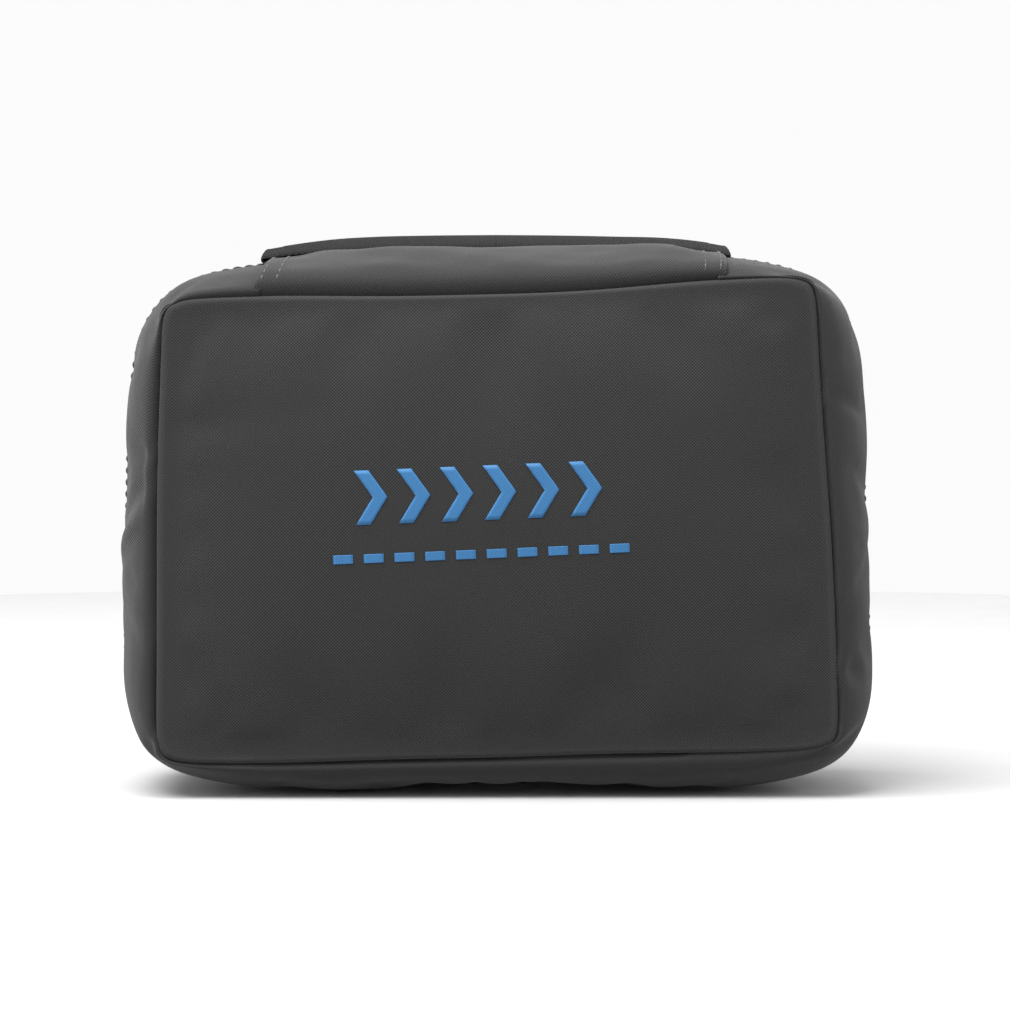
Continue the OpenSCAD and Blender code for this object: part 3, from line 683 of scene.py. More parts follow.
def makePanel(half, name, seed):
    x, z, u, v, edge = panelGrid(half)
    face = panelFace(u, v, edge, x, z, seed)
    if half == "lid":  # two folds on the left where the seam pulls: a plain one low down, a fainter one above
        low = 0.7 * np.exp(-((x + 84.0 + 0.35 * (z - 20.0)) / 3.2) ** 2) * smoothStep((46.0 - z) / 24.0)
        high = 0.45 * np.exp(-((z - 121.0 - 0.12 * (x + 70.0)) / 4.0) ** 2) * smoothStep((-38.0 - x) / 30.0)
        face -= low * smoothStep(edge / 3.0) + high * smoothStep(edge / 6.0)
    side = sideOf[half]
    front = np.stack([x, side * face, z], -1)
    bx, bz = panelGrid(half, 0.6)[:2]
    back = np.stack([bx, np.full(x.shape, side * panel["back"]), bz], -1)
    rim = np.zeros(x.shape, bool)
    rim[[0, -1], :] = rim[:, [0, -1]] = True
    index = np.arange(x.size).reshape(x.shape)
    backIndex = np.where(rim, index, -1)
    backIndex[~rim] = x.size + np.arange((~rim).sum())
    quads = gridFaces(*x.shape)
    faces = np.concatenate([quads, backIndex.ravel()[quads][:, ::-1]])
    points = np.concatenate([front.reshape(-1, 3), back[~rim]])
    uv = np.concatenate([np.stack([x, z], -1).reshape(-1, 2), np.stack([bx, bz], -1)[~rim]])
    # a paler band 1.5 mm in from the rim, where the cloth rolls over the turned edge: painted sheen standing in
    # for light caught there
    paintedSheenFront = np.exp(-((edge - 1.5) / 0.8) ** 2) * 0.3
    paintedSheen = np.concatenate([paintedSheenFront.ravel(), np.zeros((~rim).sum())])
    obj = makeMesh(name, points, faces, uv, paintedSheen)
    faceOutward(obj)
    free = smoothStep((edge - 5.0) / 8.0).ravel()
    pinned = np.concatenate([1 - free, np.ones((~rim).sum())])
    relaxCloth(obj, pinned, **panelRelax)
    addModifier(obj, "SUBSURF", levels=1, render_levels=1)
    freeze(obj)
    return obj


pads = {}
for half, side, seed in (("lid", "front", 31), ("case", "rear", 32)):
    pads[half] = keep(makePanel(half, half + "_panel_pad", seed), oxfordCloth, half,
                      [side + "_panel", side + "_foam"])
print("stage 4: padded panels made")


# the print: a line of leaning chevrons over a line of short bars

motif = {"centre": (-5.0, 90.5), "tilt": 2.4, "chevrons": 6, "pitch": 13.4, "height": 17.0, "stroke": 4.6,
         "lean": 5.6, "bars": 10, "barPitch": 9.6, "barWide": 6.2, "barHigh": 2.8}


def makePrint():
    # each chevron's x is across + lean (1 - |t|), t from -1 at its foot to 1 at its head; the whole is tilted
    h, w = motif["height"] / 2, motif["stroke"]
    t = np.linspace(-1, 1, 13)[:, None]  # up the chevron
    across = np.linspace(0, w, 6)[None, :]
    patches = []
    for k in range(motif["chevrons"]):
        x0, z0 = (k - 3) * motif["pitch"] + 1.5, -2.0 + h
        patches.append(np.stack([x0 + across + motif["lean"] * (1 - np.abs(t)), z0 + h * t + 0 * across], -1))
    for k in range(motif["bars"]):
        x0, z0 = (k - 5) * motif["barPitch"] + 1.7, -14.0
        patches.append(np.stack([x0 + across * motif["barWide"] / w + 0 * t,
                                 z0 + motif["barHigh"] * (t + 1) / 2 + 0 * across], -1))
    flat = np.stack(patches)
    turn = math.radians(motif["tilt"])
    x = motif["centre"][0] + flat[..., 0] * math.cos(turn) - flat[..., 1] * math.sin(turn)
    z = motif["centre"][1] + flat[..., 0] * math.sin(turn) + flat[..., 1] * math.cos(turn)
    points = np.stack([x, np.full(x.shape, -60.0), z], -1)
    one = gridFaces(13, 6)
    faces = (one[None] + 78 * np.arange(len(patches))[:, None, None]).reshape(-1, 4)
    obj = makeMesh("lid_screen_print", points.reshape(-1, 3), faces, np.stack([x, z], -1))
    addModifier(obj, "SHRINKWRAP", target=pads["lid"], wrap_method="PROJECT", wrap_mode="ABOVE_SURFACE",
                use_project_x=False, use_project_y=True, use_project_z=False, use_positive_direction=True,
                use_negative_direction=False, offset=0.1 * mm)
    addModifier(obj, "SOLIDIFY", thickness=0.12 * mm, offset=0.0)
    freeze(obj)
    return obj


keep(makePrint(), screenInk, "lid", ["front_print"])


# the spine cloth over the top, in two halves that meet under the handle

spine = {"lift": 0.75, "rise": 1.7, "wrinkle": 0.7, "blend": 4.5, "edgeTurn": 0.9, "seamDent": 0.35,
         "seamX": 71.8, "thick": 0.8}


def topLine(name, x):
    # height of an outline's top edge above x: mid + b (1 - |x / a|^n)^(1/n), moved as the outline is
    (halfX, low, high, power), look = outlineOf(name)
    z = (low + high) / 2 + (high - low) / 2 * np.maximum(1 - np.abs(x / halfX) ** power, 0) ** (1 / power)
    return shapeOutline(x, z, 1.0, halfX, low, high, *look)


def spinePoints(half, x, ay, lift, share=None):
    # between the seam's top edge and the zip's by share, which is bulge(ay) if not given, raised by lift
    seamX, seamZ = topLine(half, x)
    zipX, zipZ = topLine("zip", x)
    f = bulge(ay) if share is None else share
    px, pz = seamX * (1 - f) + zipX * f, seamZ * (1 - f) + zipZ * f
    return np.stack([px, np.broadcast_to(sideOf[half] * ay, px.shape), pz + lift], -1)


def spineCross(v):
    # across the spine cloth: up out of the seam's valley, over the shoulder and flat to the middle of the bag
    knots = [0, 0.04, 0.09, 0.14, 0.26, 0.42, 0.6, 1.0]
    ay = softCurve(v, knots, [36.3, 37.3, 38.3, 38.6, 36.8, 31.0, 23.0, 0.05])
    return ay, softCurve(v, knots, [-0.3, -0.1, 0.08, 0.24, 0.56, 0.84, 0.98, 1.0])


def makeSpine(half, name, seed):
    # lift = even lift + rise in the middle - turned edge + folds - a dent along the inner row of stitches
    x = np.concatenate([[-75.9, -75.6, -75.0], np.linspace(-73.5, 73.5, 64), [75.0, 75.6, 75.9]])[:, None]
    ay, share = spineCross(np.linspace(0, 1, 30))
    turned = spine["edgeTurn"] * smoothStep((np.abs(x) - 74.6) / 1.2)
    folds = softNoise(x, ay[None, :] * 2.2, seed, 80.0, 18.0) * smoothStep((75 - np.abs(x)) / 12.0)
    folds = folds * smoothStep((ay - 12.0) / 8.0) * smoothStep((38.5 - ay) / 4.0)
    dent = np.exp(-((np.abs(x) - spine["seamX"]) / 1.1) ** 2) * spine["seamDent"]
    middle = spine["rise"] * smoothStep((68 - np.abs(x)) / 12.0) * smoothStep((34 - ay) / 12.0)
    lift = spine["lift"] + middle - turned + spine["wrinkle"] * folds - dent
    points = spinePoints(half, x, ay[None, :], lift, share[None, :])
    points[..., 2] -= 0.35 * smoothStep((14 - ay) / 3.0)[None, :]
    obj = gridMesh(name, points, pairUv(x, spread(points)))
    addModifier(obj, "SUBSURF", levels=1, render_levels=1)
    addModifier(obj, "SOLIDIFY", thickness=spine["thick"] * mm, offset=-1.0 * sideOf[half])
    freeze(obj)
    return obj


def blendSpine(obj, half):
    # each half's transform is put into its mesh, the lid's and the case's alike
    if half == "lid":
        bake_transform(obj)
    else:
        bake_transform(obj)


for half, side, seed in (("lid", "front", 41), ("case", "rear", 42)):
    sheet = keep(makeSpine(half, "spine_cloth_" + side, seed), oxfordCloth, None,
                 [side + "_spine_patch", "spine_panel"])
    blendSpine(sheet, half)
print("stage 5: spine cloth made")


# the webbing handle, in two halves that meet in the middle

handle = {
    "thick": 1.7, "wide": 24.6, "lean": 1.2, "leanAtEnd": 3.0, "sinkLeft": 0.8, "sinkRight": -0.3,
    "rise": [(0, 176.3), (20, 176.15), (40, 175.75), (56, 175.2), (64, 174.5), (70, 173.7), (73.6, 173.1)],
}


def makeHandle(sign, name):
    # the strap's middle line runs out along x, turns under at the end and comes back 9 mm, flat on the cloth;
    # its front edge hangs lower by lean y / wide - 0.6 lean (y / wide)^2
    out = np.linspace(0, 73.4, 96)
    sink = handle["sinkLeft"] if sign < 0 else handle["sinkRight"]
    top = softCurve(out, *zip(*handle["rise"])) - sink * smoothStep((out - 34.0) / 36.0)
    a = np.linspace(math.pi / 2, -math.pi / 2, 9)[1:]
    curlX, curlZ = 73.9 + 0.85 * np.cos(a), top[-1] - 0.72 + 0.72 * np.sin(a)
    backX = np.linspace(73.0, 64.0, 12)
    backZ = curlZ[-1] - 0.05 + np.zeros(12)
    path = np.stack([np.concatenate([out, curlX, backX]), np.concatenate([top, curlZ, backZ])], -1)
    thin = np.where(np.arange(len(path)) < 90, 1.0, 0.8)[:, None]
    x, z, s, runs = strapSection(path, handle["wide"] / 2, handle["thick"] * thin, 36)
    y = np.broadcast_to(s[None, :], x.shape)
    lean = handle["leanAtEnd"] + handle["lean"] * smoothStep((74.0 - path[:, :1]) / 30.0)
    z = z + lean * y / handle["wide"] - 0.6 * lean * (y / handle["wide"]) ** 2
    points = capped(np.stack([sign * x, y, z], -1))
    obj = closedMesh(name, points, pairUv(runs, s[None, :] + 40.0))
    keep(obj, strapWebbing, None, ["handle_strap", "handle_ends"])
    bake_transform(obj)


makeHandle(-1.0, "handle_webbing_left")
makeHandle(1.0, "handle_webbing_right")


# zip: tape, nylon coil and the stop tapes at its ends

zipper = {"pitch": 1.75, "middle": 1.32, "reach": 0.78, "depth": 1.25, "tall": 0.6, "wire": 0.3, "sides": 5,
          "clip": (1.3, 1.4, 0.9), "tape": 0.45}


def makeTape(half, name):
    u = np.linspace(0.0005, 0.9995, 300)[:, None]
    ay = np.array([14.0, 10.0, 7.0, 4.5, 3.0, 2.2, 1.5, 0.7])
    depth = np.array([1.15, 1.15, 1.15, 1.15, 1.2, 1.35, 1.5, 1.5])
    points = wallPoints(half, u, ay[None, :], depth[None, :])
    uv = pairUv(spread(points), u * bag["wallRun"])
    return clothSheet(name, points, zipper["tape"], uv, side=-1.0 * sideOf[half])


def makeCoil(half, name):
    # one wire wound along the zip: ay = middle + reach cos p, depth = d + tall sin p, p = 2 pi s / pitch
    length = zipLine["length"]
    turns = int(length / zipper["pitch"])
    s = np.linspace(0.003, 0.997, turns * 10 + 1)
    p = 2 * math.pi * s * turns + (0 if half == "lid" else math.pi)
    path = wallPoints(half, s, zipper["middle"] - zipper["reach"] * np.cos(p),
                      zipper["depth"] + zipper["tall"] * np.sin(p))
    u = np.linspace(0.003, 0.997, len(s))
    axis = wallPoints(half, u, zipper["middle"], zipper["depth"])
    up = np.gradient(axis, axis=0)
    up /= np.linalg.norm(up, axis=1)[:, None]
    rings = capped(tube(path, zipper["wire"], zipper["sides"], up=up))
    return closedMesh(name, rings)


def makeStops():
    # a short moulded clip on the case's coil at each end: an egg of half axes clip, squared off
    a = np.linspace(0, 2 * math.pi, 16, endpoint=False)[None, :]
    b = np.linspace(-math.pi / 2, math.pi / 2, 9)[:, None]
    clips = []
    for u in (0.002, 0.998):
        place = wallPoints("case", u, 1.45, 1.1)
        wide, deep, tall = zipper["clip"]
        girth = signedPower(np.cos(b), 0.5)
        ring = [wide * girth * signedPower(np.cos(a), 0.5), deep * girth * signedPower(np.sin(a), 0.5),
                tall * signedPower(np.sin(b), 0.5) + 0 * a]
        clips.append(closedMesh("clip", place + np.stack(ring, -1)))
    return joinMeshes("case_zip_stops", clips)


keep(makeStops(), mouldedAcetal, "case", ["zip_stops"])
for half, side in (("lid", "front"), ("case", "rear")):
    keep(makeTape(half, half + "_zip_tape"), zipTape, half, [side + "_zip_tape"])
    keep(makeCoil(half, half + "_zip_coil"), nylonCoil, half, [side + "_zip_coil"])


# thread: two rows beside the zip, and along both ends of the spine cloth

sewing = {"pitch": 3.8, "length": 2.6, "rows": (4.3, 8.9), "patch": (74.2, 69.2), "patchLength": 2.4,
          "patchStitches": 9, "patchRaise": 0.3}


def zipStitches(half):
    count = int(zipLine["length"] / sewing["pitch"])
    rows = []
    for ay in sewing["rows"]:
        u = (np.arange(count) + 0.5) / count
        place = wallPoints(half, u, ay, -0.05)
        ahead = wallPoints(half, u + 0.002, ay, -0.05)
        above = wallPoints(half, u, ay, -1.05)
        rows.append((place, ahead - place, above - place))
    return [np.concatenate(part) for part in zip(*rows)]


def spineStitches(half):
    v = np.linspace(0.13, 0.76, sewing["patchStitches"])
    ay, share = spineCross(v)
    nextAy, nextShare = spineCross(v + 0.01)
    rows = []
    for x in [sign * across for sign in (-1, 1) for across in sewing["patch"]]:
        flat = np.full(len(ay), x)
        place = spinePoints(half, flat, ay, spine["lift"] + 0.1, share)
        rows.append((place, spinePoints(half, flat, nextAy, spine["lift"] + 0.1, nextShare) - place,
                     np.stack([0 * ay, sideOf[half] * smoothStep((ay - 30) / 8), 1.0 + 0 * ay], -1)))
    return [np.concatenate(part) for part in zip(*rows)]


for half in ("lid", "case"):
    row = stitchRow(half + "_zip_stitches", *zipStitches(half), length=sewing["length"])
    keep(row, sewingThread, half)
    row = stitchRow(half + "_spine_stitches", *spineStitches(half), length=sewing["patchLength"],
                    sink=-sewing["patchRaise"])
    blendSpine(keep(row, sewingThread, None), half)
print("stage 6: handle, zip and sewing made")


# lining: a sheet behind each panel and another round the wall, with soft creases

inner = {"panelY": 35.5, "thick": 0.45, "wallDepth": 1.95, "wallRun": 600.0, "crease": 0.45}


def makeLiningPanel(half, name, seed):
    x, z, _, _, edge = panelGrid(half, 1.6)
    y = inner["panelY"] - 0.35 * (1 - smoothStep(edge / 8.0)) \
        - 0.3 * np.abs(softNoise(x, z, seed, 90.0, 25.0))
    return clothSheet(name, np.stack([x, sideOf[half] * y, z], -1), inner["thick"], np.stack([x, z], -1),
                      side=sideOf[half])


def makeLiningWall(half, name, seed):
    u = np.linspace(0.002, 0.998, 260)[:, None]
    ay = np.array([35.0, 34.0, 32.0, 29.0, 26.0, 22.0, 18.0, 14.0, 11.0, 9.0, 8.1])
    soft = smoothStep((ay - 9.0) / 4.0) * smoothStep((34.5 - ay) / 3.0)
    crease = inner["crease"] * soft[None, :] \
        * (1 + softNoise(u * bag["creaseRun"], ay[None, :], seed, 70.0, 16.0))
    points = wallPoints(half, u, ay[None, :], inner["wallDepth"] + crease)
    uv = pairUv(u * inner["wallRun"], spread(points))
    return clothSheet(name, points, inner["thick"], uv, smooth=1, side=-1.0 * sideOf[half])


def makeSpineLining(half, name):
    # hangs a little below the spine and its foam, drawn up to them at both ends
    x = np.linspace(-72.9, 72.9, 90)[:, None]
    ay = np.array([34.9, 33.5, 31.0, 27.0, 22.0, 17.0, 12.0, 8.0, 4.0, 0.1])
    drop = softCurve(ay, [0, 14, 27, 35], [4.9, 4.9, 4.4, 3.0])[None, :]
    drop = 1.6 + (drop - 1.6) * smoothStep((73.2 - np.abs(x)) / 6.0)
    drop = drop + 0.25 * softNoise(x, ay[None, :], 51, 50.0, 15.0) * smoothStep((ay - 2.0) / 5.0)[None, :]
    points = spinePoints(half, x, ay[None, :], -drop)
    return clothSheet(name, points, inner["thick"], pairUv(x, spread(points)), side=sideOf[half])


def makeSpineFoam(half, name):
    # the strip of foam between spine cloth and lining
    x = np.linspace(-70.5, 70.5, 60)[:, None]
    ay = np.array([33.0, 31.0, 27.0, 22.0, 17.0, 12.0, 8.0, 4.0, 0.15])
    edge = smoothStep((71.0 - np.abs(x)) / 4.0)
    top = spinePoints(half, x, ay[None, :], -0.35 - 0.6 * (1 - edge))
    low = spinePoints(half, x, ay[None, :], -3.5 + 0.9 * (1 - edge))
    rows, cols = top.shape[:2]
    points = np.concatenate([top.reshape(-1, 3), low.reshape(-1, 3)])
    index = np.arange(rows * cols).reshape(rows, cols)
    loop = np.concatenate([index[:-1, 0], index[-1, :-1], index[:0:-1, -1], index[0, :0:-1]])
    after = np.roll(loop, -1)
    rim = np.stack([loop, loop + rows * cols, after + rows * cols, after], -1)
    quads = gridFaces(rows, cols)
    faces = np.concatenate([quads, quads[:, ::-1] + rows * cols, rim[:, ::-1]])
    uv = np.concatenate([top[..., :2].reshape(-1, 2)] * 2)
    obj = makeMesh(name, points, faces, uv)
    bpy.context.view_layer.update()
    faceOutward(obj)
    return obj


# open-cell polyurethane foam, cut: pale grey, pitted
paddingFoam = hardFinish("polyurethane_foam", "#8c8c8a", "#a5a5a2", 0.95, grain=900.0, relief=0.9)

for half, side in (("lid", "front"), ("case", "rear")):
    sheet = keep(makeLiningPanel(half, half + "_lining_panel", 61), liningTaffeta, half,
                 [side + "_lining_panel"])
    sheet = keep(makeLiningWall(half, half + "_lining_wall", 62), liningTaffeta, half,
                 [side + "_lining_wall"])
    sheet = keep(makeSpineLining(half, half + "_spine_lining"), liningTaffeta, None,
                 ["spine_lining"])
    blendSpine(sheet, half)
    strip = keep(makeSpineFoam(half, half + "_spine_foam"), paddingFoam, None, ["spine_foam"])
    blendSpine(strip, half)
print("stage 7: lining made")


# pockets: both are cut to the wall's own outline at their depth

pocket = {"faceY": 29.35, "thick": 0.5, "inset": 2.75, "netCell": 3.2, "netYarn": 0.32, "wire": 0.22,
          "coilPitch": 1.5, "gather": 0.22, "gatherPitch": 5.0}


def wallSides(half, z, ay):
    # left and right x of the wall's outline at height z, looked up in the left and the right half of it
    u = np.linspace(0, 1, 2001)
    place = wallPoints(half, u, ay, pocket["inset"])
    left, right = place[place[:, 0] < 0], place[place[:, 0] > 0]
    left, right = left[::-1], right
    low = max(left[:, 2].min(), right[:, 2].min())
    z = np.maximum(z, low)
    rising = [np.maximum.accumulate(side[:, 2]) for side in (left, right)]
    return np.interp(z, rising[0], left[:, 0]), np.interp(z, rising[1], right[:, 0])


def pocketSheet(half, lowZ, highZ, y, bulgeOut, seed, cells=(70, 40)):
    # a sheet across the bag between two heights, bellied by bulgeOut and slightly uneven
    z = np.linspace(lowZ, highZ, cells[1])[None, :]
    left, right = wallSides(half, z, abs(y))
    s = np.linspace(0, 1, cells[0])[:, None]
    x = left + (right - left) * s
    z = np.broadcast_to(z, x.shape)
    t = (z - lowZ) / (highZ - lowZ)
    belly = bulgeOut * np.sin(math.pi * s) * np.sin(math.pi * t) + 0.25 * softNoise(x, z, seed, 80.0, 25.0) \
        * np.sin(math.pi * s) ** 0.5
    points = np.stack([x, y - sideOf[half] * belly, z], -1)
    return points, np.stack([x, z], -1)


netLow, netHigh = nodeBox("lid_mesh")
faceLow, faceHigh = nodeBox("lid_pocket_facing")
tapeLow, tapeHigh = nodeBox("pocket_zip_tape")
teethLow, teethHigh = nodeBox("pocket_zip_coil")
slipLow = nodeBox("slip_pocket")[0]
bandLow, bandHigh = nodeBox("slip_pocket_elastic")


def makeNet():
    # hexagons a cell apart across the pocket, then each edge given a round yarn; y follows a shallow belly
    cell = pocket["netCell"]
    rows, cols = int((netHigh[2] - netLow[2]) / (cell * 0.866)), int((netHigh[0] - netLow[0]) / cell)
    i, j = np.meshgrid(np.arange(cols), np.arange(rows), indexing="ij")
    cx = netLow[0] + (i + 0.5 + 0.5 * (j % 2)) * cell
    cz = netLow[2] + (j + 0.6) * cell * 0.866
    a = math.pi / 6 + np.arange(6) * math.pi / 3
    x = cx[..., None] + cell / 1.732 * np.cos(a)
    z = cz[..., None] + cell / 1.732 * np.sin(a)
    left, right = wallSides("lid", cz, pocket["faceY"])
    use = (cx - cell > left + 0.4) & (cx + cell < right - 0.4) & (cz + cell < netHigh[2])
    x, z = x[use], z[use]
    keys = np.stack([np.round(x.ravel() * 20), np.round(z.ravel() * 20)], -1)
    _, first, index = np.unique(keys, axis=0, return_index=True, return_inverse=True)
    x, z = x.ravel()[first], z.ravel()[first]
    span = netHigh - netLow
    belly = 1.2 * np.sin(math.pi * np.clip((x - netLow[0]) / span[0], 0, 1)) \
        * np.sin(math.pi * np.clip((z - netLow[2]) / span[2], 0, 1))
    y = -pocket["faceY"] + belly + 0.3 * softNoise(x, z, 71, 60.0, 20.0)
    mesh = bpy.data.meshes.new("lid_net")
    mesh.from_pydata((np.stack([x, y, z], -1) * mm).tolist(), [], index.reshape(-1, 6).tolist())
    obj = bpy.data.objects.new("lid_net", mesh)
    bpy.context.scene.collection.objects.link(obj)
    addModifier(obj, "WIREFRAME", thickness=pocket["netYarn"] * mm, use_replace=True, use_even_offset=False,
                use_boundary=True)
    freeze(obj)
    obj.data.polygons.foreach_set("use_smooth", np.ones(len(obj.data.polygons), bool))
    return obj


def makeBorder():
    # a folded binding round the net's three sewn sides
    z = np.linspace(netLow[2], netHigh[2] - 3, 40)
    left, right = wallSides("lid", z, pocket["faceY"])
    across = np.linspace(left[-1] + 1.5, right[-1] - 1.5, 60)
    x = np.concatenate([left + 1.2, across, right[::-1] - 1.2])
    zz = np.concatenate([z, np.full(60, z[-1] + 1.5), z[::-1]])
    y = np.full(len(x), -pocket["faceY"])
    rings = capped(tube(np.stack([x, y, zz], -1), 2.2, 12, wide=0.55, up=(0.0, 1.0, 0.0)))
    run = np.linspace(0, 430, len(rings))[:, None]
    return closedMesh("lid_net_binding", rings, pairUv(run, np.arange(12) * 0.5))


netPiece = keep(makeNet(), netYarn, "lid", ["lid_mesh"])
keep(makeBorder(), zipTape, "lid", ["lid_mesh"])


def pocketStrip(name, lowZ, highZ, node, material, seed):
    points, uv = pocketSheet("lid", lowZ, highZ, -pocket["faceY"], 0.0, seed, (90, 14))
    return keep(clothSheet(name, points, pocket["thick"], uv, side=0.0), material, "lid", [node])


facing = pocketStrip("lid_pocket_facing_cloth", faceLow[2] + 0.4, faceHigh[2], "lid_pocket_facing",
                     liningTaffeta, 72)
pocketStrip("lid_pocket_tape", tapeLow[2] + 0.1, tapeHigh[2] - 0.1, "pocket_zip_tape", zipTape,
            73)


def makePocketCoil():
    # wire wound along x: z = middle + reach cos p, y = face + tall sin p
    left, right = wallSides("lid", np.array([37.0]), pocket["faceY"])
    low, high = left[0] + 3.0, right[0] - 3.0
    turns = int((high - low) / pocket["coilPitch"])
    s = np.linspace(0, 1, turns * 10 + 1)
    middleY = (teethLow[1] + teethHigh[1]) / 2
    middleZ = (teethLow[2] + teethHigh[2]) / 2
    parts = []
    for side, shift in ((-1, 0.0), (1, math.pi)):
        p = 2 * math.pi * turns * s + shift
        path = np.stack([low + (high - low) * s, middleY + 0.4 * np.sin(p),
                         middleZ + side * (1.0 - 0.75 * np.cos(p))], -1)
        parts.append(closedMesh("coil_half", capped(tube(path, pocket["wire"], 5, up=(1.0, 0.0, 0.0)))))
    return joinMeshes("lid_pocket_coil", parts)


keep(makePocketCoil(), nylonCoil, "lid", ["pocket_zip_coil"])

points, uv = pocketSheet("case", slipLow[2] + 0.3, bandHigh[2] - 4.0, pocket["faceY"], 0.7, 74)
slip = keep(clothSheet("case_slip_pocket", points, pocket["thick"], uv, side=0.0), liningTaffeta, "case",
            ["slip_pocket"])


def makeBand():
    # a folded elastic over the pocket's top edge, slightly gathered: y = face + gather sin(2 pi x / gatherPitch)
    left, right = wallSides("case", np.array([76.0]), pocket["faceY"])
    x = np.linspace(left[0] + 0.3, right[0] - 0.3, 260)
    a = np.linspace(0, 2 * math.pi, 20, endpoint=False)
    wide, high = (bandHigh[1] - bandLow[1]) / 2, (bandHigh[2] - bandLow[2]) / 2
    gather = pocket["gather"] * np.sin(2 * math.pi * x / pocket["gatherPitch"])[:, None]
    y = (bandLow[1] + bandHigh[1]) / 2 + (wide - 0.3) * signedPower(np.cos(a), 0.5)[None, :] + gather
    z = (bandLow[2] + bandHigh[2]) / 2 + high * signedPower(np.sin(a), 0.35)[None, :] + 0 * y
    rings = capped(np.stack([np.broadcast_to(x[:, None], y.shape), y, z], -1))
    runs = np.concatenate([x[:1], x, x[-1:]])[:, None]
    return closedMesh("case_pocket_band", rings, pairUv(rings[..., 2], runs))


keep(makeBand(), knitElastic, "case", ["slip_pocket_elastic"])


# elastic loops: one strap, tacked down between four arches

loops = {"count": 4, "pitch": 46.0, "half": 92.0, "flatY": 34.6, "arch": 9.2, "thick": 1.0}
loopLow, loopHigh = nodeBox("elastic_loops")


def makeLoops():
    # strap's middle line: y = flat - arch (1 - |2.16 f|^2.6)^0.85 over each pitch, f from -0.5 to 0.5
    x = np.linspace(-loops["half"], loops["half"], 241)
    f = (x / loops["pitch"]) % 1.0 - 0.5
    lift = loops["arch"] * np.clip(1 - np.abs(2.16 * f) ** 2.6, 0, None) ** 0.85
    line = np.stack([x, loops["flatY"] - lift], -1)
    high = (loopHigh[2] - loopLow[2]) / 2 - 0.1
    px, py, s, runs = strapSection(line, high, loops["thick"], 28)
    pz = np.broadcast_to((loopHigh[2] + loopLow[2]) / 2 + s[None, :], px.shape)
    rings = capped(np.stack([px, py, pz], -1))
    return closedMesh("case_elastic_loops", rings, pairUv(rings[..., 2], runs))


keep(makeLoops(), knitElastic, "case", ["elastic_loops"])

tackZ = np.linspace(loopLow[2] + 2.0, loopHigh[2] - 2.0, 9)
tackX = (np.arange(loops["count"] + 1) - loops["count"] / 2) * loops["pitch"]
tackX = np.clip(tackX, -loops["half"] + 1.2, loops["half"] - 1.2)
tx, tz = np.meshgrid(np.concatenate([tackX - 0.6, tackX + 0.6]), tackZ, indexing="ij")
spots = np.stack([tx.ravel(), np.full(tx.size, loops["flatY"] - 0.55), tz.ravel()], -1)
tacks = stitchRow("case_loop_tacks", spots, np.tile([0.5, 0.0, 1.0], (tx.size, 1)),
                  np.tile([0.0, -1.0, 0.0], (tx.size, 1)), length=2.3, radius=0.3)
keep(tacks, sewingThread, "case", ["loop_tacks"])
print("stage 8: pockets and loops made")


# hook webbing: sewn to the lid's base, folded up through the eye

hookTab = {"wide": 19.4, "thick": 1.15}


def makeTabStrap(line):
    # a flat strap carried along a line in the y z plane
    line = np.asarray(line, float)
    run = runOf(line)
    at = np.linspace(0, run[-1], 90)
    line = np.stack([softCurve(at, run, line[:, 0]), softCurve(at, run, line[:, 1])], -1)
    y, z, s, _ = strapSection(line, hookTab["wide"] / 2, hookTab["thick"], 28)
    rings = capped(np.stack([np.broadcast_to(s[None, :], y.shape), y, z], -1))
    runs = np.concatenate([at[:1], at, at[-1:]])[:, None]
    obj = closedMesh("hook_tab_webbing", rings, pairUv(runs, rings[..., 0] + 40.0))
    return keep(obj, strapWebbing, None, ["hook_anchor", "hook_webbing"])


# from the stitched end on the base lining, over the zip tape, round the eye's bar and back to the fold
tabLine = [(-22.6, 3.3), (-18.5, 3.35), (-14.5, 3.6), (-11.0, 5.3), (-7.5, 8.0), (-4.0, 9.9), (-1.0, 10.7),
           (0.6, 11.6), (0.3, 14.5), (-0.9, 18.0), (-1.25, 21.5), (-0.7, 24.3), (1.2, 25.3), (3.1, 24.3),
           (3.65, 21.5), (3.3, 18.0), (2.2, 14.8), (1.9, 12.6)]
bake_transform(makeTabStrap(tabLine))


def boxTack(name, lowX, highX, lowY, highY, z):
    # a stitched box with its diagonals, flat at height z
    ring = [(lowX, lowY), (highX, lowY), (highX, highY), (lowX, highY), (lowX, lowY), (highX, highY)]
    pairs = list(zip(ring[:-1], ring[1:])) + [((lowX, highY), (highX, lowY))]
    spots, ways = [], []
    for a, b in pairs:
        a, b = np.array(a), np.array(b)
        count = max(2, int(np.hypot(*(b - a)) / 2.6))
        t = (np.arange(count) + 0.5) / count
        spots.append(a + (b - a) * t[:, None])
        ways.append(np.tile(b - a, (count, 1)))
    spots, ways = np.concatenate(spots), np.concatenate(ways)
    level = np.full((len(spots), 1), z)
    return stitchRow(name, np.hstack([spots, level]), np.hstack([ways, 0 * level]),
                     np.tile([0.0, 0.0, 1.0], (len(spots), 1)), length=2.1, radius=0.28)


keep(boxTack("hook_anchor_stitches", -8.0, 8.0, -21.4, -15.4, 4.0), sewingThread, "lid")
print("stage 9: hook webbing made")


# CAD parts whose shape is right keep it and get their finish

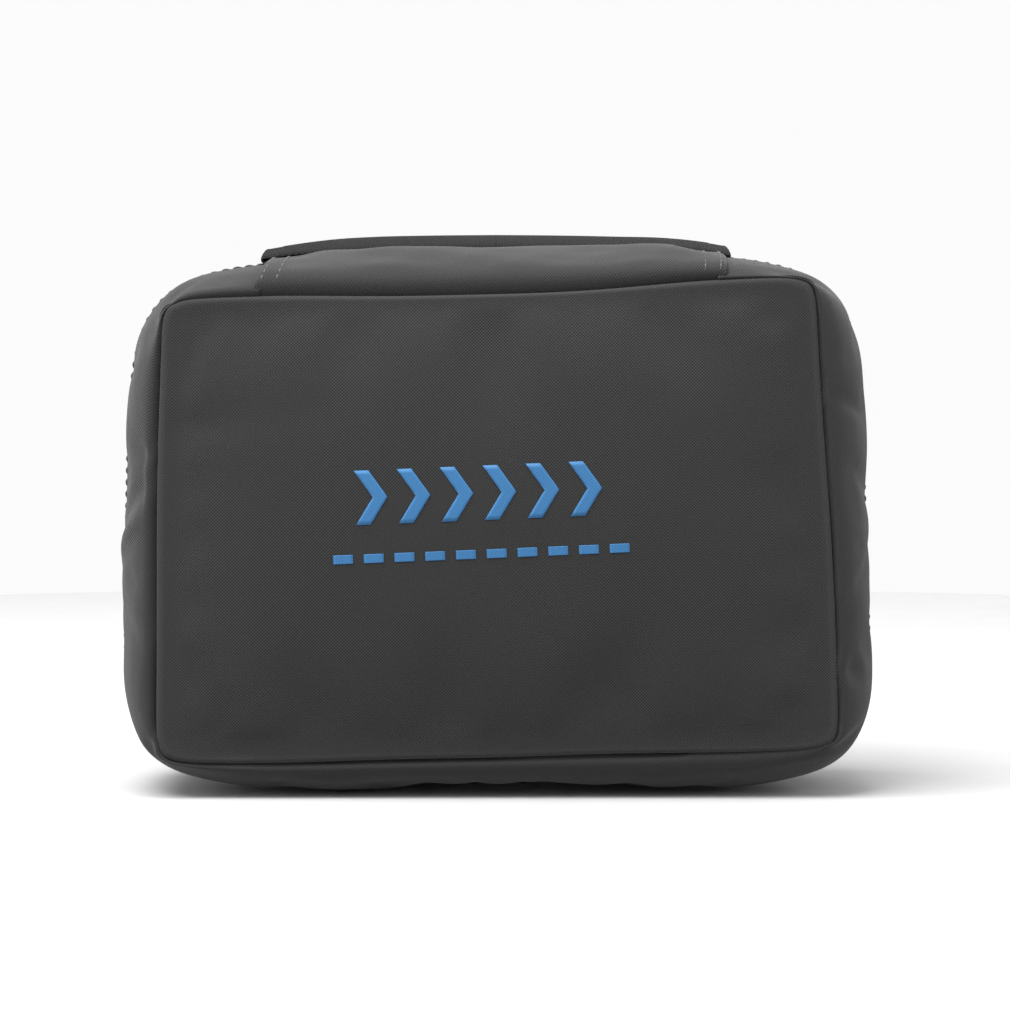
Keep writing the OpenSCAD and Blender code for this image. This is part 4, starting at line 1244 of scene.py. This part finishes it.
finishes = {
    "hook": mouldedAcetal, "hook_eye": mouldedAcetal, "swivel_cap": mouldedAcetal,
    "slider_left": lacqueredZinc, "slider_right": lacqueredZinc, "pull_left": lacqueredZinc,
    "pull_right": lacqueredZinc, "pocket_slider": lacqueredZinc, "pocket_pull": lacqueredZinc,
}
for name, material in finishes.items():
    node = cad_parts[name]
    node.data.materials.clear()
    node.data.materials.append(material)


# floor, light and camera

stageLook = {"world": 0.97, "floorRadius": 850.0, "floorDrop": -0.05}
# soft boxes: place, aim, both in metres, size and power
lamps = {
    "top": ((-0.35, -0.36, 1.25), (0, 0, 0.05), 1.1, 52.0),
    "left": ((-1.1, -0.35, 0.45), (0, 0, 0.08), 0.7, 4.0),
    "right": ((1.1, -0.25, 0.5), (0, 0, 0.08), 0.7, 6.0),
    "back": ((0.3, 1.1, 0.8), (0, 0, 0.1), 0.8, 4.0),
}


def makeFloor():
    # a round sheet of paper, radius r and angle a
    r = np.linspace(0, stageLook["floorRadius"], 12)[:, None]
    a = np.linspace(0, 2 * math.pi, 96, endpoint=False)[None, :]
    drop = stageLook["floorDrop"] + 0 * r * a
    obj = gridMesh("floor", np.stack([r * np.cos(a), r * np.sin(a), drop], -1), closeV=True)
    mat = bpy.data.materials.new("white_seamless_paper")  # matt paper roll, faint fibre
    mat.use_nodes = True
    tree = mat.node_tree
    coords = addNode(tree, "TexCoord")
    fibre = addNoise(tree, coords, 40.0, 3.0)
    paper = addNode(tree, "Mix", {"data_type": "RGBA"},
                    {6: linearColour("#9e9e9e"), 7: linearColour("#a4a4a4")}, {0: fibre.outputs["Fac"]})
    tree.links.new(paper.outputs[2], tree.nodes["Principled BSDF"].inputs["Base Color"])
    tree.nodes["Principled BSDF"].inputs["Roughness"].default_value = 0.95
    obj.data.materials.append(mat)


def softBox(name, place, aim, size, power):
    # a square area lamp at place, turned to aim, both in metres
    data = bpy.data.lights.new(name, "AREA")
    data.size = size
    data.energy = power
    obj = bpy.data.objects.new(name, data)
    obj.location = place
    ray = np.array(aim) - np.array(place)
    flat = math.hypot(ray[0], ray[1])
    obj.rotation_euler = (math.atan2(flat, -ray[2]), 0.0, math.atan2(-ray[0], ray[1]))
    bpy.context.scene.collection.objects.link(obj)


camera = {"aim": (0.0029, 0.0, 0.0908), "distance": 1.2, "elevation": 3.0, "lens": 131.9}


def makeCamera():
    # location = aim + distance (0, -cos e, sin e), looking back at the aim
    e = math.radians(camera["elevation"])
    data = bpy.data.cameras.new("camera")
    data.lens = camera["lens"]
    data.sensor_width = 36.0
    data.clip_start = 0.05
    obj = bpy.data.objects.new("camera", data)
    ax, ay, az = camera["aim"]
    obj.location = (ax, ay - camera["distance"] * math.cos(e), az + camera["distance"] * math.sin(e))
    obj.rotation_euler = (math.pi / 2 - e, 0.0, 0.0)
    bpy.context.scene.collection.objects.link(obj)
    bpy.context.scene.camera = obj


makeFloor()
world = bpy.data.worlds.new("studio")
world.use_nodes = True
background = world.node_tree.nodes["Background"]
background.inputs["Color"].default_value = linearColour("#ffffff")
background.inputs["Strength"].default_value = stageLook["world"]
bpy.context.scene.world = world
for name, (place, aim, size, power) in lamps.items():
    softBox(name, place, aim, size, power)
makeCamera()
bpy.context.scene.view_settings.view_transform = "Standard"
bpy.context.scene.view_settings.look = "None"
print("stage 10: floor, light and camera set")
